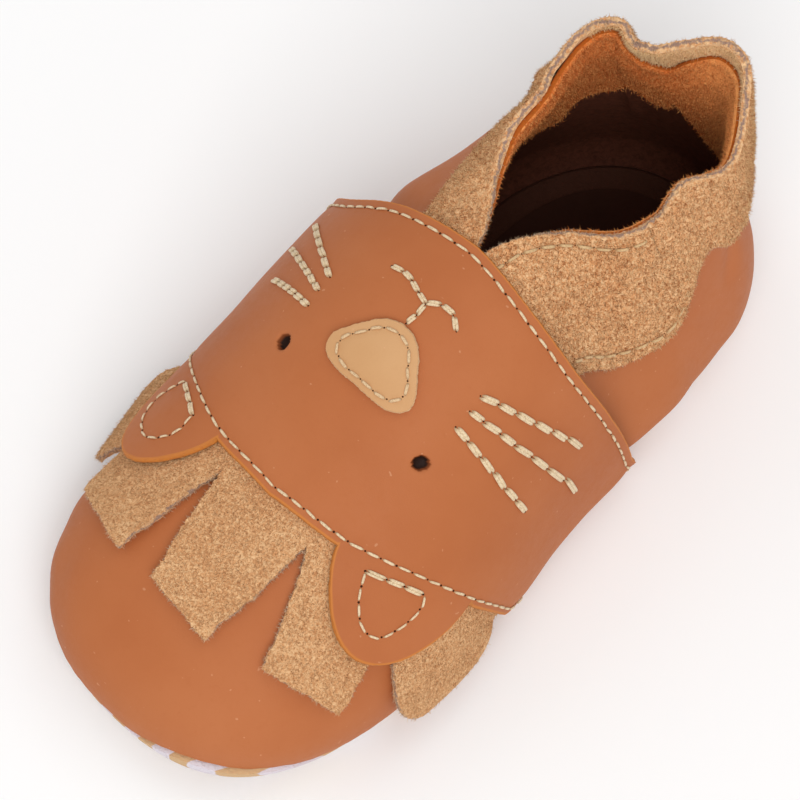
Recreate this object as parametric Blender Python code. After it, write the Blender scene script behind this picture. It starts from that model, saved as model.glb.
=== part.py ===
"""Soft-soled baby slipper with a stitched animal face, worked out from the sizes of its last.

Metres, +Z up, toe towards -Y, the wearer's left towards +X, origin on the floor under the middle.
The last is one function: a rib climbs from the floor outline (climb -1) over the widest line
(climb 0) to the top line (climb 1), and ribs walk round the outline from the toe tip (walk 0)
past the left side, the heel (walk 3) and the right side back to the toe tip (walk 6).
"""
import math
from typing import NamedTuple

import bmesh
import bpy
import numpy as np

# Driving dimensions of the last
LENGTH = 0.1228
BALL_WIDTH = 0.0548
INSTEP_HEIGHT = 0.0480
HEEL_HEIGHT = 0.0600
WIDEST_HEIGHT = 0.0090
TUCK_UNDER = 0.0080
TOE_SPRING = 0.0030
LEAN_START = 1.15

# Leather and suede
UPPER_WALL = 0.0014
SOLE_WALL = 0.0018
SOCK_WALL = 0.0014
SUEDE = 0.0012
FACE_LEATHER = 0.0011
NOSE_LEATHER = 0.0010
CLEARANCE = 0.0003

# Where the round toe and the round heel begin, as shares of the length behind the toe tip
TOE_STATION = 0.300
HEEL_STATION = 0.772
TOE_SQUARENESS_NEAR = 2.36
TOE_SQUARENESS_FAR = 2.80
THROAT_STATION = 0.570
CUFF_FRONT_STATION = 0.583

# Samples round the outline and up the ribs
TOE_RIBS = 9
VAMP_RIBS = 9
QUARTER_RIBS = 7
HEEL_RIBS = 22
UPPER_ROWS = 13
SOLE_EDGE_ROWS = 4
SOLE_FLOOR_ROWS = 4


class Side(NamedTuple):
    """Half widths at a station, as shares of the ball width; near is the wearer's left."""

    station: float
    near: float
    far: float


SIDES = (
    Side(0.300, 0.507, 0.493),
    Side(0.423, 0.471, 0.496),
    Side(0.529, 0.431, 0.493),
    Side(0.643, 0.416, 0.470),
    Side(0.772, 0.422, 0.408),
)


class Crest(NamedTuple):
    """Height of the last's top line at a station, as a share of the instep height."""

    station: float
    height: float


CREST = (
    Crest(0.000, 0.562),
    Crest(0.105, 0.594),
    Crest(0.235, 0.660),
    Crest(0.300, 0.729),
    Crest(0.382, 0.833),
    Crest(0.463, 0.927),
    Crest(0.545, 0.979),
    Crest(0.618, 1.000),
    Crest(0.772, 1.060),
)


class Fold(NamedTuple):
    """One gather of the collar: its place round the outline, how far out its edge stands
    (1 is straight above the widest line), its height as a share of the heel height, the arc in
    degrees over which the wall leans in, and the share of a plain straight lean in it."""

    walk: float
    reach: float
    height: float
    arc: float
    lean: float


COLLAR = (
    Fold(1.572, 0.000, 0.799, 90.0, 0.00),
    Fold(1.660, 0.030, 0.802, 88.0, 0.25),
    Fold(1.747, 0.115, 0.806, 84.0, 0.55),
    Fold(1.834, 0.250, 0.798, 77.0, 0.75),
    Fold(1.933, 0.480, 0.780, 68.0, 0.80),
    Fold(2.040, 0.575, 0.805, 62.0, 0.80),
    Fold(2.140, 0.595, 0.855, 58.0, 0.70),
    Fold(2.210, 0.630, 0.885, 55.0, 0.60),
    Fold(2.280, 0.725, 0.880, 52.0, 0.50),
    Fold(2.360, 0.815, 0.865, 50.0, 0.45),
    Fold(2.460, 0.845, 0.890, 47.0, 0.75),
    Fold(2.560, 0.862, 0.945, 44.0, 0.95),
    Fold(2.680, 0.880, 1.005, 42.0, 0.90),
    Fold(2.780, 0.815, 1.020, 44.0, 0.70),
    Fold(2.880, 0.660, 1.003, 47.0, 0.60),
    Fold(2.980, 0.550, 0.987, 49.0, 0.68),
    Fold(3.070, 0.500, 0.995, 50.0, 0.72),
    Fold(3.170, 0.490, 0.995, 50.0, 0.76),
    Fold(3.260, 0.520, 1.000, 50.0, 0.80),
    Fold(3.330, 0.580, 1.000, 50.0, 0.85),
    Fold(3.440, 0.585, 0.990, 50.0, 0.90),
    Fold(3.560, 0.535, 0.975, 52.0, 0.95),
    Fold(3.660, 0.470, 0.955, 55.0, 1.00),
    Fold(3.870, 0.370, 0.930, 60.0, 1.00),
    Fold(4.070, 0.350, 0.885, 67.0, 0.85),
    Fold(4.165, 0.250, 0.840, 77.0, 0.55),
    Fold(4.253, 0.120, 0.815, 84.0, 0.30),
    Fold(4.340, 0.030, 0.802, 88.0, 0.25),
    Fold(4.428, 0.000, 0.799, 90.0, 0.00),
)


class Seam(NamedTuple):
    """Climb of the seam where the upper is turned in to the sole."""

    walk: float
    climb: float


SEAM = (
    Seam(0.00, -0.06),
    Seam(0.09, 0.02),
    Seam(0.23, 0.05),
    Seam(0.40, 0.01),
    Seam(0.55, -0.08),
    Seam(0.66, -0.26),
    Seam(0.90, -0.46),
    Seam(1.30, -0.52),
    Seam(3.00, -0.50),
    Seam(4.70, -0.52),
    Seam(5.20, -0.48),
    Seam(5.75, -0.36),
    Seam(5.92, -0.22),
    Seam(6.00, -0.06),
)


class CuffRow(NamedTuple):
    """Climb of the cuff's lower edge and of the upper's own edge inside it."""

    walk: float
    foot: float
    lining: float


CUFF = (
    CuffRow(1.572, 0.45, 0.985),
    CuffRow(1.675, 0.39, 0.980),
    CuffRow(1.805, 0.30, 0.975),
    CuffRow(1.915, 0.31, 0.970),
    CuffRow(2.000, 0.35, 0.965),
    CuffRow(2.100, 0.48, 0.960),
    CuffRow(2.190, 0.56, 0.955),
    CuffRow(2.290, 0.50, 0.945),
    CuffRow(2.420, 0.53, 0.935),
    CuffRow(2.560, 0.50, 0.920),
    CuffRow(2.680, 0.48, 0.885),
    CuffRow(2.750, 0.50, 0.885),
    CuffRow(2.820, 0.52, 0.900),
    CuffRow(2.900, 0.51, 0.870),
    CuffRow(2.980, 0.49, 0.810),
    CuffRow(3.070, 0.48, 0.790),
    CuffRow(3.170, 0.47, 0.810),
    CuffRow(3.260, 0.47, 0.870),
    CuffRow(3.330, 0.49, 0.935),
    CuffRow(3.440, 0.52, 0.950),
    CuffRow(3.560, 0.54, 0.950),
    CuffRow(3.660, 0.56, 0.955),
    CuffRow(3.870, 0.58, 0.960),
    CuffRow(4.070, 0.60, 0.965),
    CuffRow(4.165, 0.61, 0.970),
    CuffRow(4.253, 0.63, 0.975),
    CuffRow(4.340, 0.66, 0.980),
    CuffRow(4.428, 0.73, 0.985),
)


class Edge(NamedTuple):
    """Edges of the face panel at a girth angle (degrees down from the top line): its front edge
    and its back edge on the wearer's left and right."""

    girth: float
    front: float
    back_near: float
    back_far: float


PANEL = (
    Edge(0.0, 0.268, 0.604, 0.604),
    Edge(25.0, 0.280, 0.597, 0.595),
    Edge(46.0, 0.312, 0.602, 0.586),
    Edge(66.0, 0.348, 0.614, 0.580),
    Edge(80.0, 0.378, 0.626, 0.584),
    Edge(102.0, 0.426, 0.652, 0.600),
    Edge(124.0, 0.462, 0.666, 0.612),
)

# Ear: a rounded flap on the panel's front edge, fuller on its outer side
EAR_FROM = 23.5
EAR_TO = 67.0
EAR_LENGTH = 0.108
EAR_SKEW = 1.6
EAR_LIFT = 0.0006
BACK_EDGE_LIFT = 0.0005
BACK_EDGE_LIFT_FAR = 0.0016
PANEL_ROOM = 2.0 * CLEARANCE + SUEDE
PANEL_TAPER_FROM = 100.0
PRESS_FROM = 52.0
PRESS_TO = 74.0
PRESS_BODY = 0.78
PRESS_SHARE = 0.6


class Strip(NamedTuple):
    """A strip of the mane: girth angles of its root and tip corners, stations of its tip
    corners, how far the tip stands off and the share of its length where that begins; hinge
    tells which edge stays down, 0 for neither, and bow carries the middle of the tip forward."""

    root_from: float
    root_to: float
    tip_from: float
    tip_to: float
    station_from: float
    station_to: float
    lift: float
    lift_from: float
    hinge: int
    bow: float


MANE = (
    Strip(-98.0, -63.0, -100.0, -64.0, 0.232, 0.236, 0.0027, 0.00, 1, 0.016),
    Strip(-58.0, -17.0, -63.0, -30.0, 0.160, 0.124, 0.0008, 0.60, 0, 0.0),
    Strip(-17.0, 17.0, -13.5, 14.0, 0.121, 0.109, 0.0006, 0.45, 0, 0.0),
    Strip(17.0, 46.0, 34.0, 65.0, 0.130, 0.164, 0.0008, 0.60, 0, 0.0),
    Strip(63.0, 98.0, 64.0, 103.0, 0.246, 0.252, 0.0018, 0.05, -1, 0.022),
)
HINGE_RISE = 2.2
MANE_ROOT_DEPTH = 0.045
MANE_ROOT_SHOW = -0.018
STRIP_COLUMNS = 5
STRIP_ROWS = 7
GAP_COLUMNS = 3
BAND_ROWS = 2

# Nose: a rounded triangle lying on the panel, its point towards the throat
NOSE_STATION = 0.4440
NOSE_GIRTH = 1.3
NOSE_LONG = 0.0045
NOSE_WIDE = 0.0060
NOSE_ROUND = 0.0255
NOSE_COLUMNS = 20
NOSE_RINGS = 3

# Colours
LEATHER_COLOUR = (0.53, 0.165, 0.055, 1.0)
SUEDE_COLOUR = (0.60, 0.35, 0.16, 1.0)
NOSE_COLOUR = (0.74, 0.45, 0.20, 1.0)
SOLE_COLOUR = (0.78, 0.73, 0.78, 1.0)
SOCK_COLOUR = (0.30, 0.13, 0.05, 1.0)

TIP_Y = -0.5 * LENGTH


def along(station):
    """Y of a station, a share of the length behind the toe tip."""
    return TIP_Y + LENGTH * np.asarray(station, float)


def column(rows, name):
    """One named column of a table as an array."""
    return np.array([getattr(row, name) for row in rows], float)


def smooth(x, places, values, level_ends=False):
    """Cubic Hermite curve through the rows of a table, held at its ends."""
    slopes = np.empty_like(values)
    slopes[1:-1] = (values[2:] - values[:-2]) / (places[2:] - places[:-2])
    slopes[0] = 0.0 if level_ends else (values[1] - values[0]) / (places[1] - places[0])
    slopes[-1] = 0.0 if level_ends else (values[-1] - values[-2]) / (places[-1] - places[-2])
    x = np.clip(np.asarray(x, float), places[0], places[-1])
    i = np.clip(np.searchsorted(places, x) - 1, 0, len(places) - 2)
    step = places[i + 1] - places[i]
    t = (x - places[i]) / step
    rise = t * t * (3.0 - 2.0 * t)
    start = values[i] * (1.0 - rise) + slopes[i] * step * t * (1.0 - t) ** 2
    return start + values[i + 1] * rise + slopes[i + 1] * step * t * t * (t - 1.0)


def smoothstep(x):
    """Smooth step from 0 to 1."""
    x = np.clip(x, 0.0, 1.0)
    return x * x * (3.0 - 2.0 * x)


def table(rows, key, name, x):
    """Smooth value of a table's column at x."""
    return smooth(x, column(rows, key), column(rows, name))


def crest_height(y):
    """Height of the closed last's top line over y."""
    station = (np.asarray(y, float) - TIP_Y) / LENGTH
    return INSTEP_HEIGHT * table(CREST, "station", "height", station)


def half_width(y, near):
    """Half width of the widest line at y: superellipse toe, sides from the table, round heel."""
    y = np.asarray(y, float)
    shares = column(SIDES, "near" if near else "far")
    station = (y - TIP_Y) / LENGTH
    width = smooth(station, column(SIDES, "station"), shares, True)
    power = TOE_SQUARENESS_NEAR if near else TOE_SQUARENESS_FAR
    toe = np.clip((TOE_STATION - station) / TOE_STATION, 0.0, 1.0)
    heel = np.clip((station - HEEL_STATION) / (1.0 - HEEL_STATION), 0.0, 1.0)
    width = np.where(station < TOE_STATION, shares[0] * (1.0 - toe ** power) ** (1.0 / power), width)
    width = np.where(station > HEEL_STATION, shares[-1] * np.sqrt(1.0 - heel ** 2), width)
    return BALL_WIDTH * width


def rib_plan(walk):
    """Foot of each rib on the top line (y) and its end on the widest line (x, y)."""
    side = np.where(walk <= 3.0, 1.0, -1.0)
    part = np.where(walk <= 3.0, walk, 6.0 - walk)
    share = np.clip(part - 1.0, 0.0, 1.0)
    y_side = along(TOE_STATION + (HEEL_STATION - TOE_STATION) * share)
    width = np.where(side > 0.0, half_width(y_side, True), half_width(y_side, False))
    toe_turn = np.clip(part, 0.0, 1.0) * math.pi / 2.0
    power = np.where(side > 0.0, TOE_SQUARENESS_NEAR, TOE_SQUARENESS_FAR)
    toe_width = BALL_WIDTH * np.where(side > 0.0, SIDES[0].near, SIDES[0].far)
    toe_x = toe_width * np.sin(toe_turn) ** (2.0 / power)
    toe_y = along(TOE_STATION) - LENGTH * TOE_STATION * np.cos(toe_turn) ** (2.0 / power)
    heel_turn = np.clip(part - 2.0, 0.0, 1.0) * math.pi / 2.0
    heel_x = np.where(side > 0.0, SIDES[-1].near, SIDES[-1].far) * BALL_WIDTH * np.cos(heel_turn)
    heel_y = along(HEEL_STATION) + LENGTH * (1.0 - HEEL_STATION) * np.sin(heel_turn)
    top_y = np.where(part < 1.0, along(TOE_STATION), np.where(part > 2.0, along(HEEL_STATION), y_side))
    x = np.where(part < 1.0, toe_x, np.where(part > 2.0, heel_x, width)) * side
    y = np.where(part < 1.0, toe_y, np.where(part > 2.0, heel_y, y_side))
    return top_y, x, y


def toe_rise(walk):
    """Toe spring of the floor outline: full at the toe tip, none behind the toe's ribs."""
    part = np.where(walk <= 3.0, walk, 6.0 - walk)
    return TOE_SPRING * np.cos(np.clip(part, 0.0, 1.0) * math.pi / 2.0) ** 2


def rib_point(walk, climb):
    """Point of the last. Above the widest line the rib leans in along an elliptical arc to the
    collar edge or to the closed top line; below it a quarter ellipse tucks under to the floor."""
    walk, climb = np.broadcast_arrays(np.asarray(walk, float), np.asarray(climb, float))
    top_y, base_x, base_y = rib_plan(walk)
    places = column(COLLAR, "walk")
    open_top = (walk >= places[0]) & (walk <= places[-1])
    reach = np.where(open_top, table(COLLAR, "walk", "reach", walk), 0.0)
    arc = np.radians(np.where(open_top, table(COLLAR, "walk", "arc", walk), 90.0))
    turn = np.clip(climb, 0.0, None) * arc
    under = np.clip(-climb, 0.0, 1.0) * math.pi / 2.0
    span = np.hypot(base_x, base_y - top_y)
    lean = np.where(open_top, table(COLLAR, "walk", "lean", walk), 0.0)
    round_in = (1.0 - np.cos(turn)) / (1.0 - np.cos(arc))
    straight_in = (np.sin(turn) / np.sin(arc)) ** LEAN_START
    share = 1.0 - (1.0 - reach) * ((1.0 - lean) * round_in + lean * straight_in)
    share = share - TUCK_UNDER * (1.0 - np.cos(under)) / span
    x = base_x * share
    y = top_y + (base_y - top_y) * share
    collar_height = HEEL_HEIGHT * table(COLLAR, "walk", "height", walk)
    crest = np.where(open_top, collar_height, crest_height(y))
    floor = toe_rise(walk)
    z = WIDEST_HEIGHT + (crest - WIDEST_HEIGHT) * np.sin(turn) / np.sin(arc)
    z = z - (WIDEST_HEIGHT - floor) * np.sin(under)
    return np.stack([x, y, z], -1)


def floor_point(walk, share, height=0.0):
    """Point of the sole's bottom: share 1 on the floor outline, 0 on the middle line."""
    walk, share = np.broadcast_arrays(np.asarray(walk, float), np.asarray(share, float))
    top_y, _, _ = rib_plan(walk)
    rim = rib_point(walk, -1.0)
    x = rim[..., 0] * share
    y = top_y + (rim[..., 1] - top_y) * share
    z = toe_rise(walk) * np.clip((share - 0.35) / 0.65, 0.0, 1.0) ** 2 + height
    return np.stack([x, y, z], -1)


def arch_point(station, girth):
    """Point of the closed last at a station and a girth angle in degrees from the top line,
    plus towards the wearer's left; in front of the toe's pole the arch follows the toe's ribs."""
    station, girth = np.broadcast_arrays(np.asarray(station, float), np.asarray(girth, float))
    y = along(station)
    near = girth >= 0.0
    turn = np.radians(90.0 - np.abs(girth))
    width = np.where(near, half_width(y, True), half_width(y, False))
    across = width * np.cos(np.clip(turn, 0.0, None))
    power = np.where(near, TOE_SQUARENESS_NEAR, TOE_SQUARENESS_FAR)
    pole_width = BALL_WIDTH * np.where(near, SIDES[0].near, SIDES[0].far)
    ahead = np.clip((TOE_STATION - station) / TOE_STATION, 0.0, 1.0)
    toe_share = ((across / pole_width) ** power + ahead ** power) ** (1.0 / power)
    share = np.where(station < TOE_STATION, toe_share, np.cos(turn))
    rise = np.sqrt(np.clip(1.0 - share ** 2, 0.0, 1.0))
    under = np.clip(-turn, 0.0, None)
    z = WIDEST_HEIGHT + (crest_height(y) - WIDEST_HEIGHT) * np.where(turn > 0.0, rise, 0.0)
    z = z - WIDEST_HEIGHT * np.sin(under)
    across = across - TUCK_UNDER * (1.0 - np.cos(under))
    return np.stack([across * np.where(near, 1.0, -1.0), y, z], -1)


def on_rib(walk, climb, distance):
    """Rib points stood off outwards; on the closed top line the rib just below is used, as all
    the toe's ribs meet in its pole."""
    walk, climb, distance = np.broadcast_arrays(walk, climb, distance)
    step = 1e-4
    below_top = np.minimum(climb, 1.0 - step)
    along_walk = rib_point(walk + step, below_top) - rib_point(walk - step, below_top)
    along_climb = rib_point(walk, climb + step) - rib_point(walk, climb - step)
    normal = np.cross(along_walk, along_climb)
    normal /= np.linalg.norm(normal, axis=-1, keepdims=True)
    return rib_point(walk, climb) + normal * distance[..., None]


def on_arch(station, girth, distance):
    """Closed arch points stood off outwards."""
    station, girth, distance = np.broadcast_arrays(station, girth, distance)
    along_girth = arch_point(station, girth + 0.01) - arch_point(station, girth - 0.01)
    along_length = arch_point(station + 1e-4, girth) - arch_point(station - 1e-4, girth)
    normal = np.cross(along_girth, along_length)
    normal /= np.linalg.norm(normal, axis=-1, keepdims=True)
    return arch_point(station, girth) + normal * distance[..., None]


def rib_places():
    """Walk values of the ribs, alike on both sides so that they meet on the top line."""
    throat = 1.0 + (THROAT_STATION - TOE_STATION) / (HEEL_STATION - TOE_STATION)
    half = [np.linspace(0.0, 1.0, TOE_RIBS, endpoint=False)]
    half.append(np.linspace(1.0, throat, VAMP_RIBS, endpoint=False))
    half.append(np.linspace(throat, 2.0, QUARTER_RIBS, endpoint=False))
    half.append(np.linspace(2.0, 3.0, HEEL_RIBS, endpoint=False))
    near = np.concatenate(half)
    return np.concatenate([near, [3.0], 6.0 - near[:0:-1]])


def grid_faces(rows, columns, closed=False):
    """Quads of a grid of points, rows by columns, closed round the columns if asked."""
    last = columns if closed else columns - 1
    faces = []
    for r in range(rows - 1):
        for c in range(last):
            d = (c + 1) % columns
            faces.append((r * columns + c, r * columns + d, (r + 1) * columns + d, (r + 1) * columns + c))
    return faces


def weld(skin, twin, faces):
    """Merge points of the skin that coincide, with their twins, and drop what collapses."""
    flat = skin.reshape(-1, 3)
    keys = np.round(flat / 2e-6).astype(np.int64)
    _, first, places = np.unique(keys, axis=0, return_index=True, return_inverse=True)
    places = places.reshape(-1)
    kept = []
    for face in faces:
        ring = list(dict.fromkeys(int(places[i]) for i in face))
        if len(ring) > 2:
            kept.append(ring)
    return flat[first], twin.reshape(-1, 3)[first], kept


def leather(name, colour, roughness):
    """A plain material for one sub-part."""
    material = bpy.data.materials.new(name)
    material.use_nodes = True
    shader = material.node_tree.nodes["Principled BSDF"]
    shader.inputs["Base Color"].default_value = colour
    shader.inputs["Roughness"].default_value = roughness
    return material


def shell(name, skin, twin, faces, material):
    """A closed solid between a skin and its twin, with a rim along every open edge."""
    skin, twin, faces = weld(skin, twin, faces)
    used = {}
    for face in faces:
        for a, b in zip(face, face[1:] + face[:1]):
            used[(a, b)] = face
    solid = bmesh.new()
    outer = [solid.verts.new(point) for point in skin]
    inner = [solid.verts.new(point) for point in twin]
    for face in faces:
        solid.faces.new([outer[i] for i in face])
        solid.faces.new([inner[i] for i in reversed(face)])
    for a, b in used:
        if (b, a) not in used:
            solid.faces.new([outer[b], outer[a], inner[a], inner[b]])
    bmesh.ops.delete(solid, geom=[vert for vert in solid.verts if not vert.link_faces], context="VERTS")
    bmesh.ops.triangulate(solid, faces=solid.faces)
    bmesh.ops.recalc_face_normals(solid, faces=solid.faces)
    return place(name, solid, material)


def place(name, solid, material):
    """Turn the mesh into a named object with its material."""
    mesh = bpy.data.meshes.new(name)
    solid.to_mesh(mesh)
    solid.free()
    mesh.materials.append(material)
    part = bpy.data.objects.new(name, mesh)
    bpy.context.scene.collection.objects.link(part)
    return part


def build_upper(walks):
    """The upper: hollow, open at the collar and underneath."""
    seam = table(SEAM, "walk", "climb", walks)
    places = column(COLLAR, "walk")
    open_top = (walks > places[0]) & (walks < places[-1])
    edge = np.where(open_top, table(CUFF, "walk", "lining", walks), 1.0)
    share = np.linspace(0.0, 1.0, UPPER_ROWS)[:, None]
    climb = seam + (edge - seam) * share
    faces = grid_faces(UPPER_ROWS, len(walks), True)
    material = leather("upper_leather", LEATHER_COLOUR, 0.5)
    return shell("upper", on_rib(walks, climb, 0.0), on_rib(walks, climb, -UPPER_WALL), faces, material)


def build_sole(walks):
    """The sole: a shallow dish whose edge curls up to the seam."""
    seam = table(SEAM, "walk", "climb", walks) - CLEARANCE / (1.45 * WIDEST_HEIGHT)
    share = np.linspace(0.0, 1.0, SOLE_EDGE_ROWS, endpoint=False)[:, None]
    climb = seam + (-1.0 - seam) * share
    floor = np.linspace(1.0, 0.0, SOLE_FLOOR_ROWS)[:, None]
    outside = np.concatenate([on_rib(walks, climb, 0.0), floor_point(walks, floor)])
    inside = np.concatenate([on_rib(walks, climb, -SOLE_WALL), floor_point(walks, floor, SOLE_WALL)])
    faces = grid_faces(len(outside), len(walks), True)
    return shell("sole", outside, inside, faces, leather("sole_suede", SOLE_COLOUR, 0.9))


def build_insole(walks):
    """The insole sock: a thin sheet lying on the sole."""
    share = np.linspace(1.03, 0.0, SOLE_FLOOR_ROWS)[:, None]
    under = floor_point(walks, share, SOLE_WALL + CLEARANCE)
    over = floor_point(walks, share, SOLE_WALL + CLEARANCE + SOCK_WALL)
    faces = grid_faces(len(under), len(walks), True)
    return shell("insole", over, under, faces, leather("insole_sock", SOCK_COLOUR, 0.9))


def build_cuff(ribs):
    """The ankle cuff: a suede band round the collar outside the upper."""
    start = 1.0 + (CUFF_FRONT_STATION - TOE_STATION) / (HEEL_STATION - TOE_STATION)
    walks = np.concatenate([[start], ribs[(ribs > start + 0.01) & (ribs < 5.99 - start)], [6.0 - start]])
    foot = table(CUFF, "walk", "foot", walks)
    share = np.linspace(0.0, 1.0, 8)[:, None]
    climb = foot + (1.0 - foot) * share
    outside = on_rib(walks, climb, CLEARANCE + SUEDE)
    faces = grid_faces(8, len(walks))
    material = leather("cuff_suede", SUEDE_COLOUR, 0.95)
    return shell("ankle_cuff", outside, on_rib(walks, climb, CLEARANCE), faces, material)


def ear_bump(girth):
    """How far the ear carries the panel's front edge forward, 0 to 1: a half circle whose place
    is skewed towards the ear's outer side."""
    place = np.clip((np.abs(girth) - EAR_FROM) / (EAR_TO - EAR_FROM), 0.0, 1.0)
    return np.sqrt(np.clip(1.0 - (2.0 * place ** EAR_SKEW - 1.0) ** 2, 0.0, 1.0))


def panel_girths():
    """Girth angles across the panel, closer together over the ears."""
    ear = 0.5 - 0.5 * np.cos(np.linspace(0.0, math.pi, 13, endpoint=False))
    half = [np.linspace(0.0, EAR_FROM, 5, endpoint=False)]
    half.append(EAR_FROM + (EAR_TO - EAR_FROM) * ear ** (1.0 / EAR_SKEW))
    half.append(np.linspace(EAR_TO, PANEL[-1].girth, 7))
    near = np.concatenate(half)
    return np.concatenate([-near[:0:-1], near])


def build_panel():
    """The face panel: an overlay across the instep with two ears on its front edge."""
    girth = panel_girths()
    front = table(PANEL, "girth", "front", np.abs(girth))
    back_near = table(PANEL, "girth", "back_near", np.abs(girth))
    back = np.where(girth > 0.0, back_near, table(PANEL, "girth", "back_far", np.abs(girth)))
    ear = front - EAR_LENGTH * ear_bump(girth)
    share = np.concatenate([np.linspace(0.0, 1.0, 4, endpoint=False), np.linspace(1.0, 2.0, 8)])
    flap = np.clip(share, 0.0, 1.0)[:, None]
    body = np.clip(share - 1.0, 0.0, 1.0)[:, None]
    base = front + 0.010
    station = ear + (base - ear) * flap + (back - base) * body
    taper = (np.abs(girth) - PANEL_TAPER_FROM) / (PANEL[-1].girth - PANEL_TAPER_FROM)
    far = np.clip(-girth / EAR_TO, 0.0, 1.0)
    back_lift = BACK_EDGE_LIFT + (BACK_EDGE_LIFT_FAR - BACK_EDGE_LIFT) * far
    lift = EAR_LIFT * ear_bump(girth) * (1.0 - flap) ** 2 + back_lift * body ** 2
    down = smoothstep((girth - PRESS_FROM) / (PRESS_TO - PRESS_FROM))
    down = down * smoothstep((body - PRESS_BODY) / (1.0 - PRESS_BODY))
    room = CLEARANCE + (PANEL_ROOM - CLEARANCE + lift) * (1.0 - smoothstep(taper)) * (1.0 - PRESS_SHARE * down)
    faces = grid_faces(len(share), len(girth))
    material = leather("face_leather", LEATHER_COLOUR, 0.45)
    outside = on_arch(station, girth, room + FACE_LEATHER)
    return shell("face_panel", outside, on_arch(station, girth, room), faces, material)


def strip_places(strip, t, across):
    """Station, girth and lift over one strip of the mane."""
    root_girth = strip.root_from + (strip.root_to - strip.root_from) * across
    tip_girth = strip.tip_from + (strip.tip_to - strip.tip_from) * across
    root = table(PANEL, "girth", "front", np.abs(root_girth)) + MANE_ROOT_SHOW
    tip = strip.station_from + (strip.station_to - strip.station_from) * across
    tip = tip - strip.bow * 4.0 * across * (1.0 - across)
    free = np.clip((t - strip.lift_from) / (1.0 - strip.lift_from), 0.0, 1.0)
    rise = smoothstep(free)
    swing = 1.0
    if strip.hinge:
        rise = (1.0 - (1.0 - free) ** 4) * (1.4 - 0.4 * free)
    if strip.hinge > 0:
        swing = np.clip((1.0 - across) * HINGE_RISE, 0.0, 1.0)
    if strip.hinge < 0:
        swing = np.clip(across * HINGE_RISE, 0.0, 1.0)
    return root + (tip - root) * t, root_girth + (tip_girth - root_girth) * t, strip.lift * rise * swing


def build_mane():
    """The mane: a hidden band under the panel's front edge with the strips cut from it."""
    girth = []
    for strip, after in zip(MANE, MANE[1:] + MANE[-1:]):
        girth.append(np.linspace(strip.root_from, strip.root_to, STRIP_COLUMNS, endpoint=False))
        if after.root_from > strip.root_to:
            girth.append(np.linspace(strip.root_to, after.root_from, GAP_COLUMNS, endpoint=False))
    girth = np.concatenate(girth + [[MANE[-1].root_to]])
    front = table(PANEL, "girth", "front", np.abs(girth))
    rows = np.linspace(front + MANE_ROOT_DEPTH, front + MANE_ROOT_SHOW, BAND_ROWS + 1)
    inside = [on_arch(rows, girth, CLEARANCE).reshape(-1, 3)]
    outside = [on_arch(rows, girth, CLEARANCE + SUEDE).reshape(-1, 3)]
    faces = grid_faces(BAND_ROWS + 1, len(girth))
    count = rows.size
    t = np.linspace(0.0, 1.0, STRIP_ROWS + 1)[:, None]
    across = np.linspace(0.0, 1.0, STRIP_COLUMNS + 1)[None, :]
    for strip in MANE:
        station, strip_girth, lift = strip_places(strip, t, across)
        inside.append(on_arch(station, strip_girth, CLEARANCE + lift).reshape(-1, 3))
        outside.append(on_arch(station, strip_girth, CLEARANCE + SUEDE + lift).reshape(-1, 3))
        faces += [tuple(i + count for i in face) for face in grid_faces(STRIP_ROWS + 1, STRIP_COLUMNS + 1)]
        count += station.size
    material = leather("mane_suede", SUEDE_COLOUR, 0.95)
    return shell("mane_fringe", np.concatenate(outside), np.concatenate(inside), faces, material)


def build_nose():
    """The nose patch: a rounded triangle on the panel."""
    turn = np.linspace(0.0, 2.0 * math.pi, NOSE_COLUMNS, endpoint=False)
    radius = 1.0 + 0.14 * np.cos(3.0 * turn)
    ring = np.linspace(1.0, 0.0, NOSE_RINGS + 1)[:, None]
    girth_scale = 180.0 / (math.pi * NOSE_ROUND)
    station = NOSE_STATION + ring * radius * np.cos(turn) * NOSE_LONG / LENGTH
    girth = NOSE_GIRTH + ring * radius * np.sin(turn) * NOSE_WIDE * girth_scale
    room = PANEL_ROOM + FACE_LEATHER + CLEARANCE
    inside = on_arch(station, girth, room)
    faces = grid_faces(NOSE_RINGS + 1, NOSE_COLUMNS, True)
    material = leather("nose_leather", NOSE_COLOUR, 0.45)
    return shell("nose_patch", on_arch(station, girth, room + NOSE_LEATHER), inside, faces, material)


def main():
    """Clear the scene and build every piece."""
    for old in list(bpy.data.objects):
        bpy.data.objects.remove(old, do_unlink=True)
    walks = rib_places()
    build_sole(walks)
    build_insole(walks)
    build_upper(walks)
    build_cuff(walks)
    build_mane()
    build_panel()
    build_nose()


main()
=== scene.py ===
"""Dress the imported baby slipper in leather, suede and thread, with its camera and light.

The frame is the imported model's: metres, +Z up, toe towards -Y, the wearer's left towards +X.
Near means the wearer's left, the side that the camera sees, and far the other side.
"""

import logging
import math
from dataclasses import dataclass, field, replace
from enum import Enum
from typing import NamedTuple, Sequence

import bpy
import numpy as np
from mathutils import Matrix
from numpy.typing import NDArray


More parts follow.
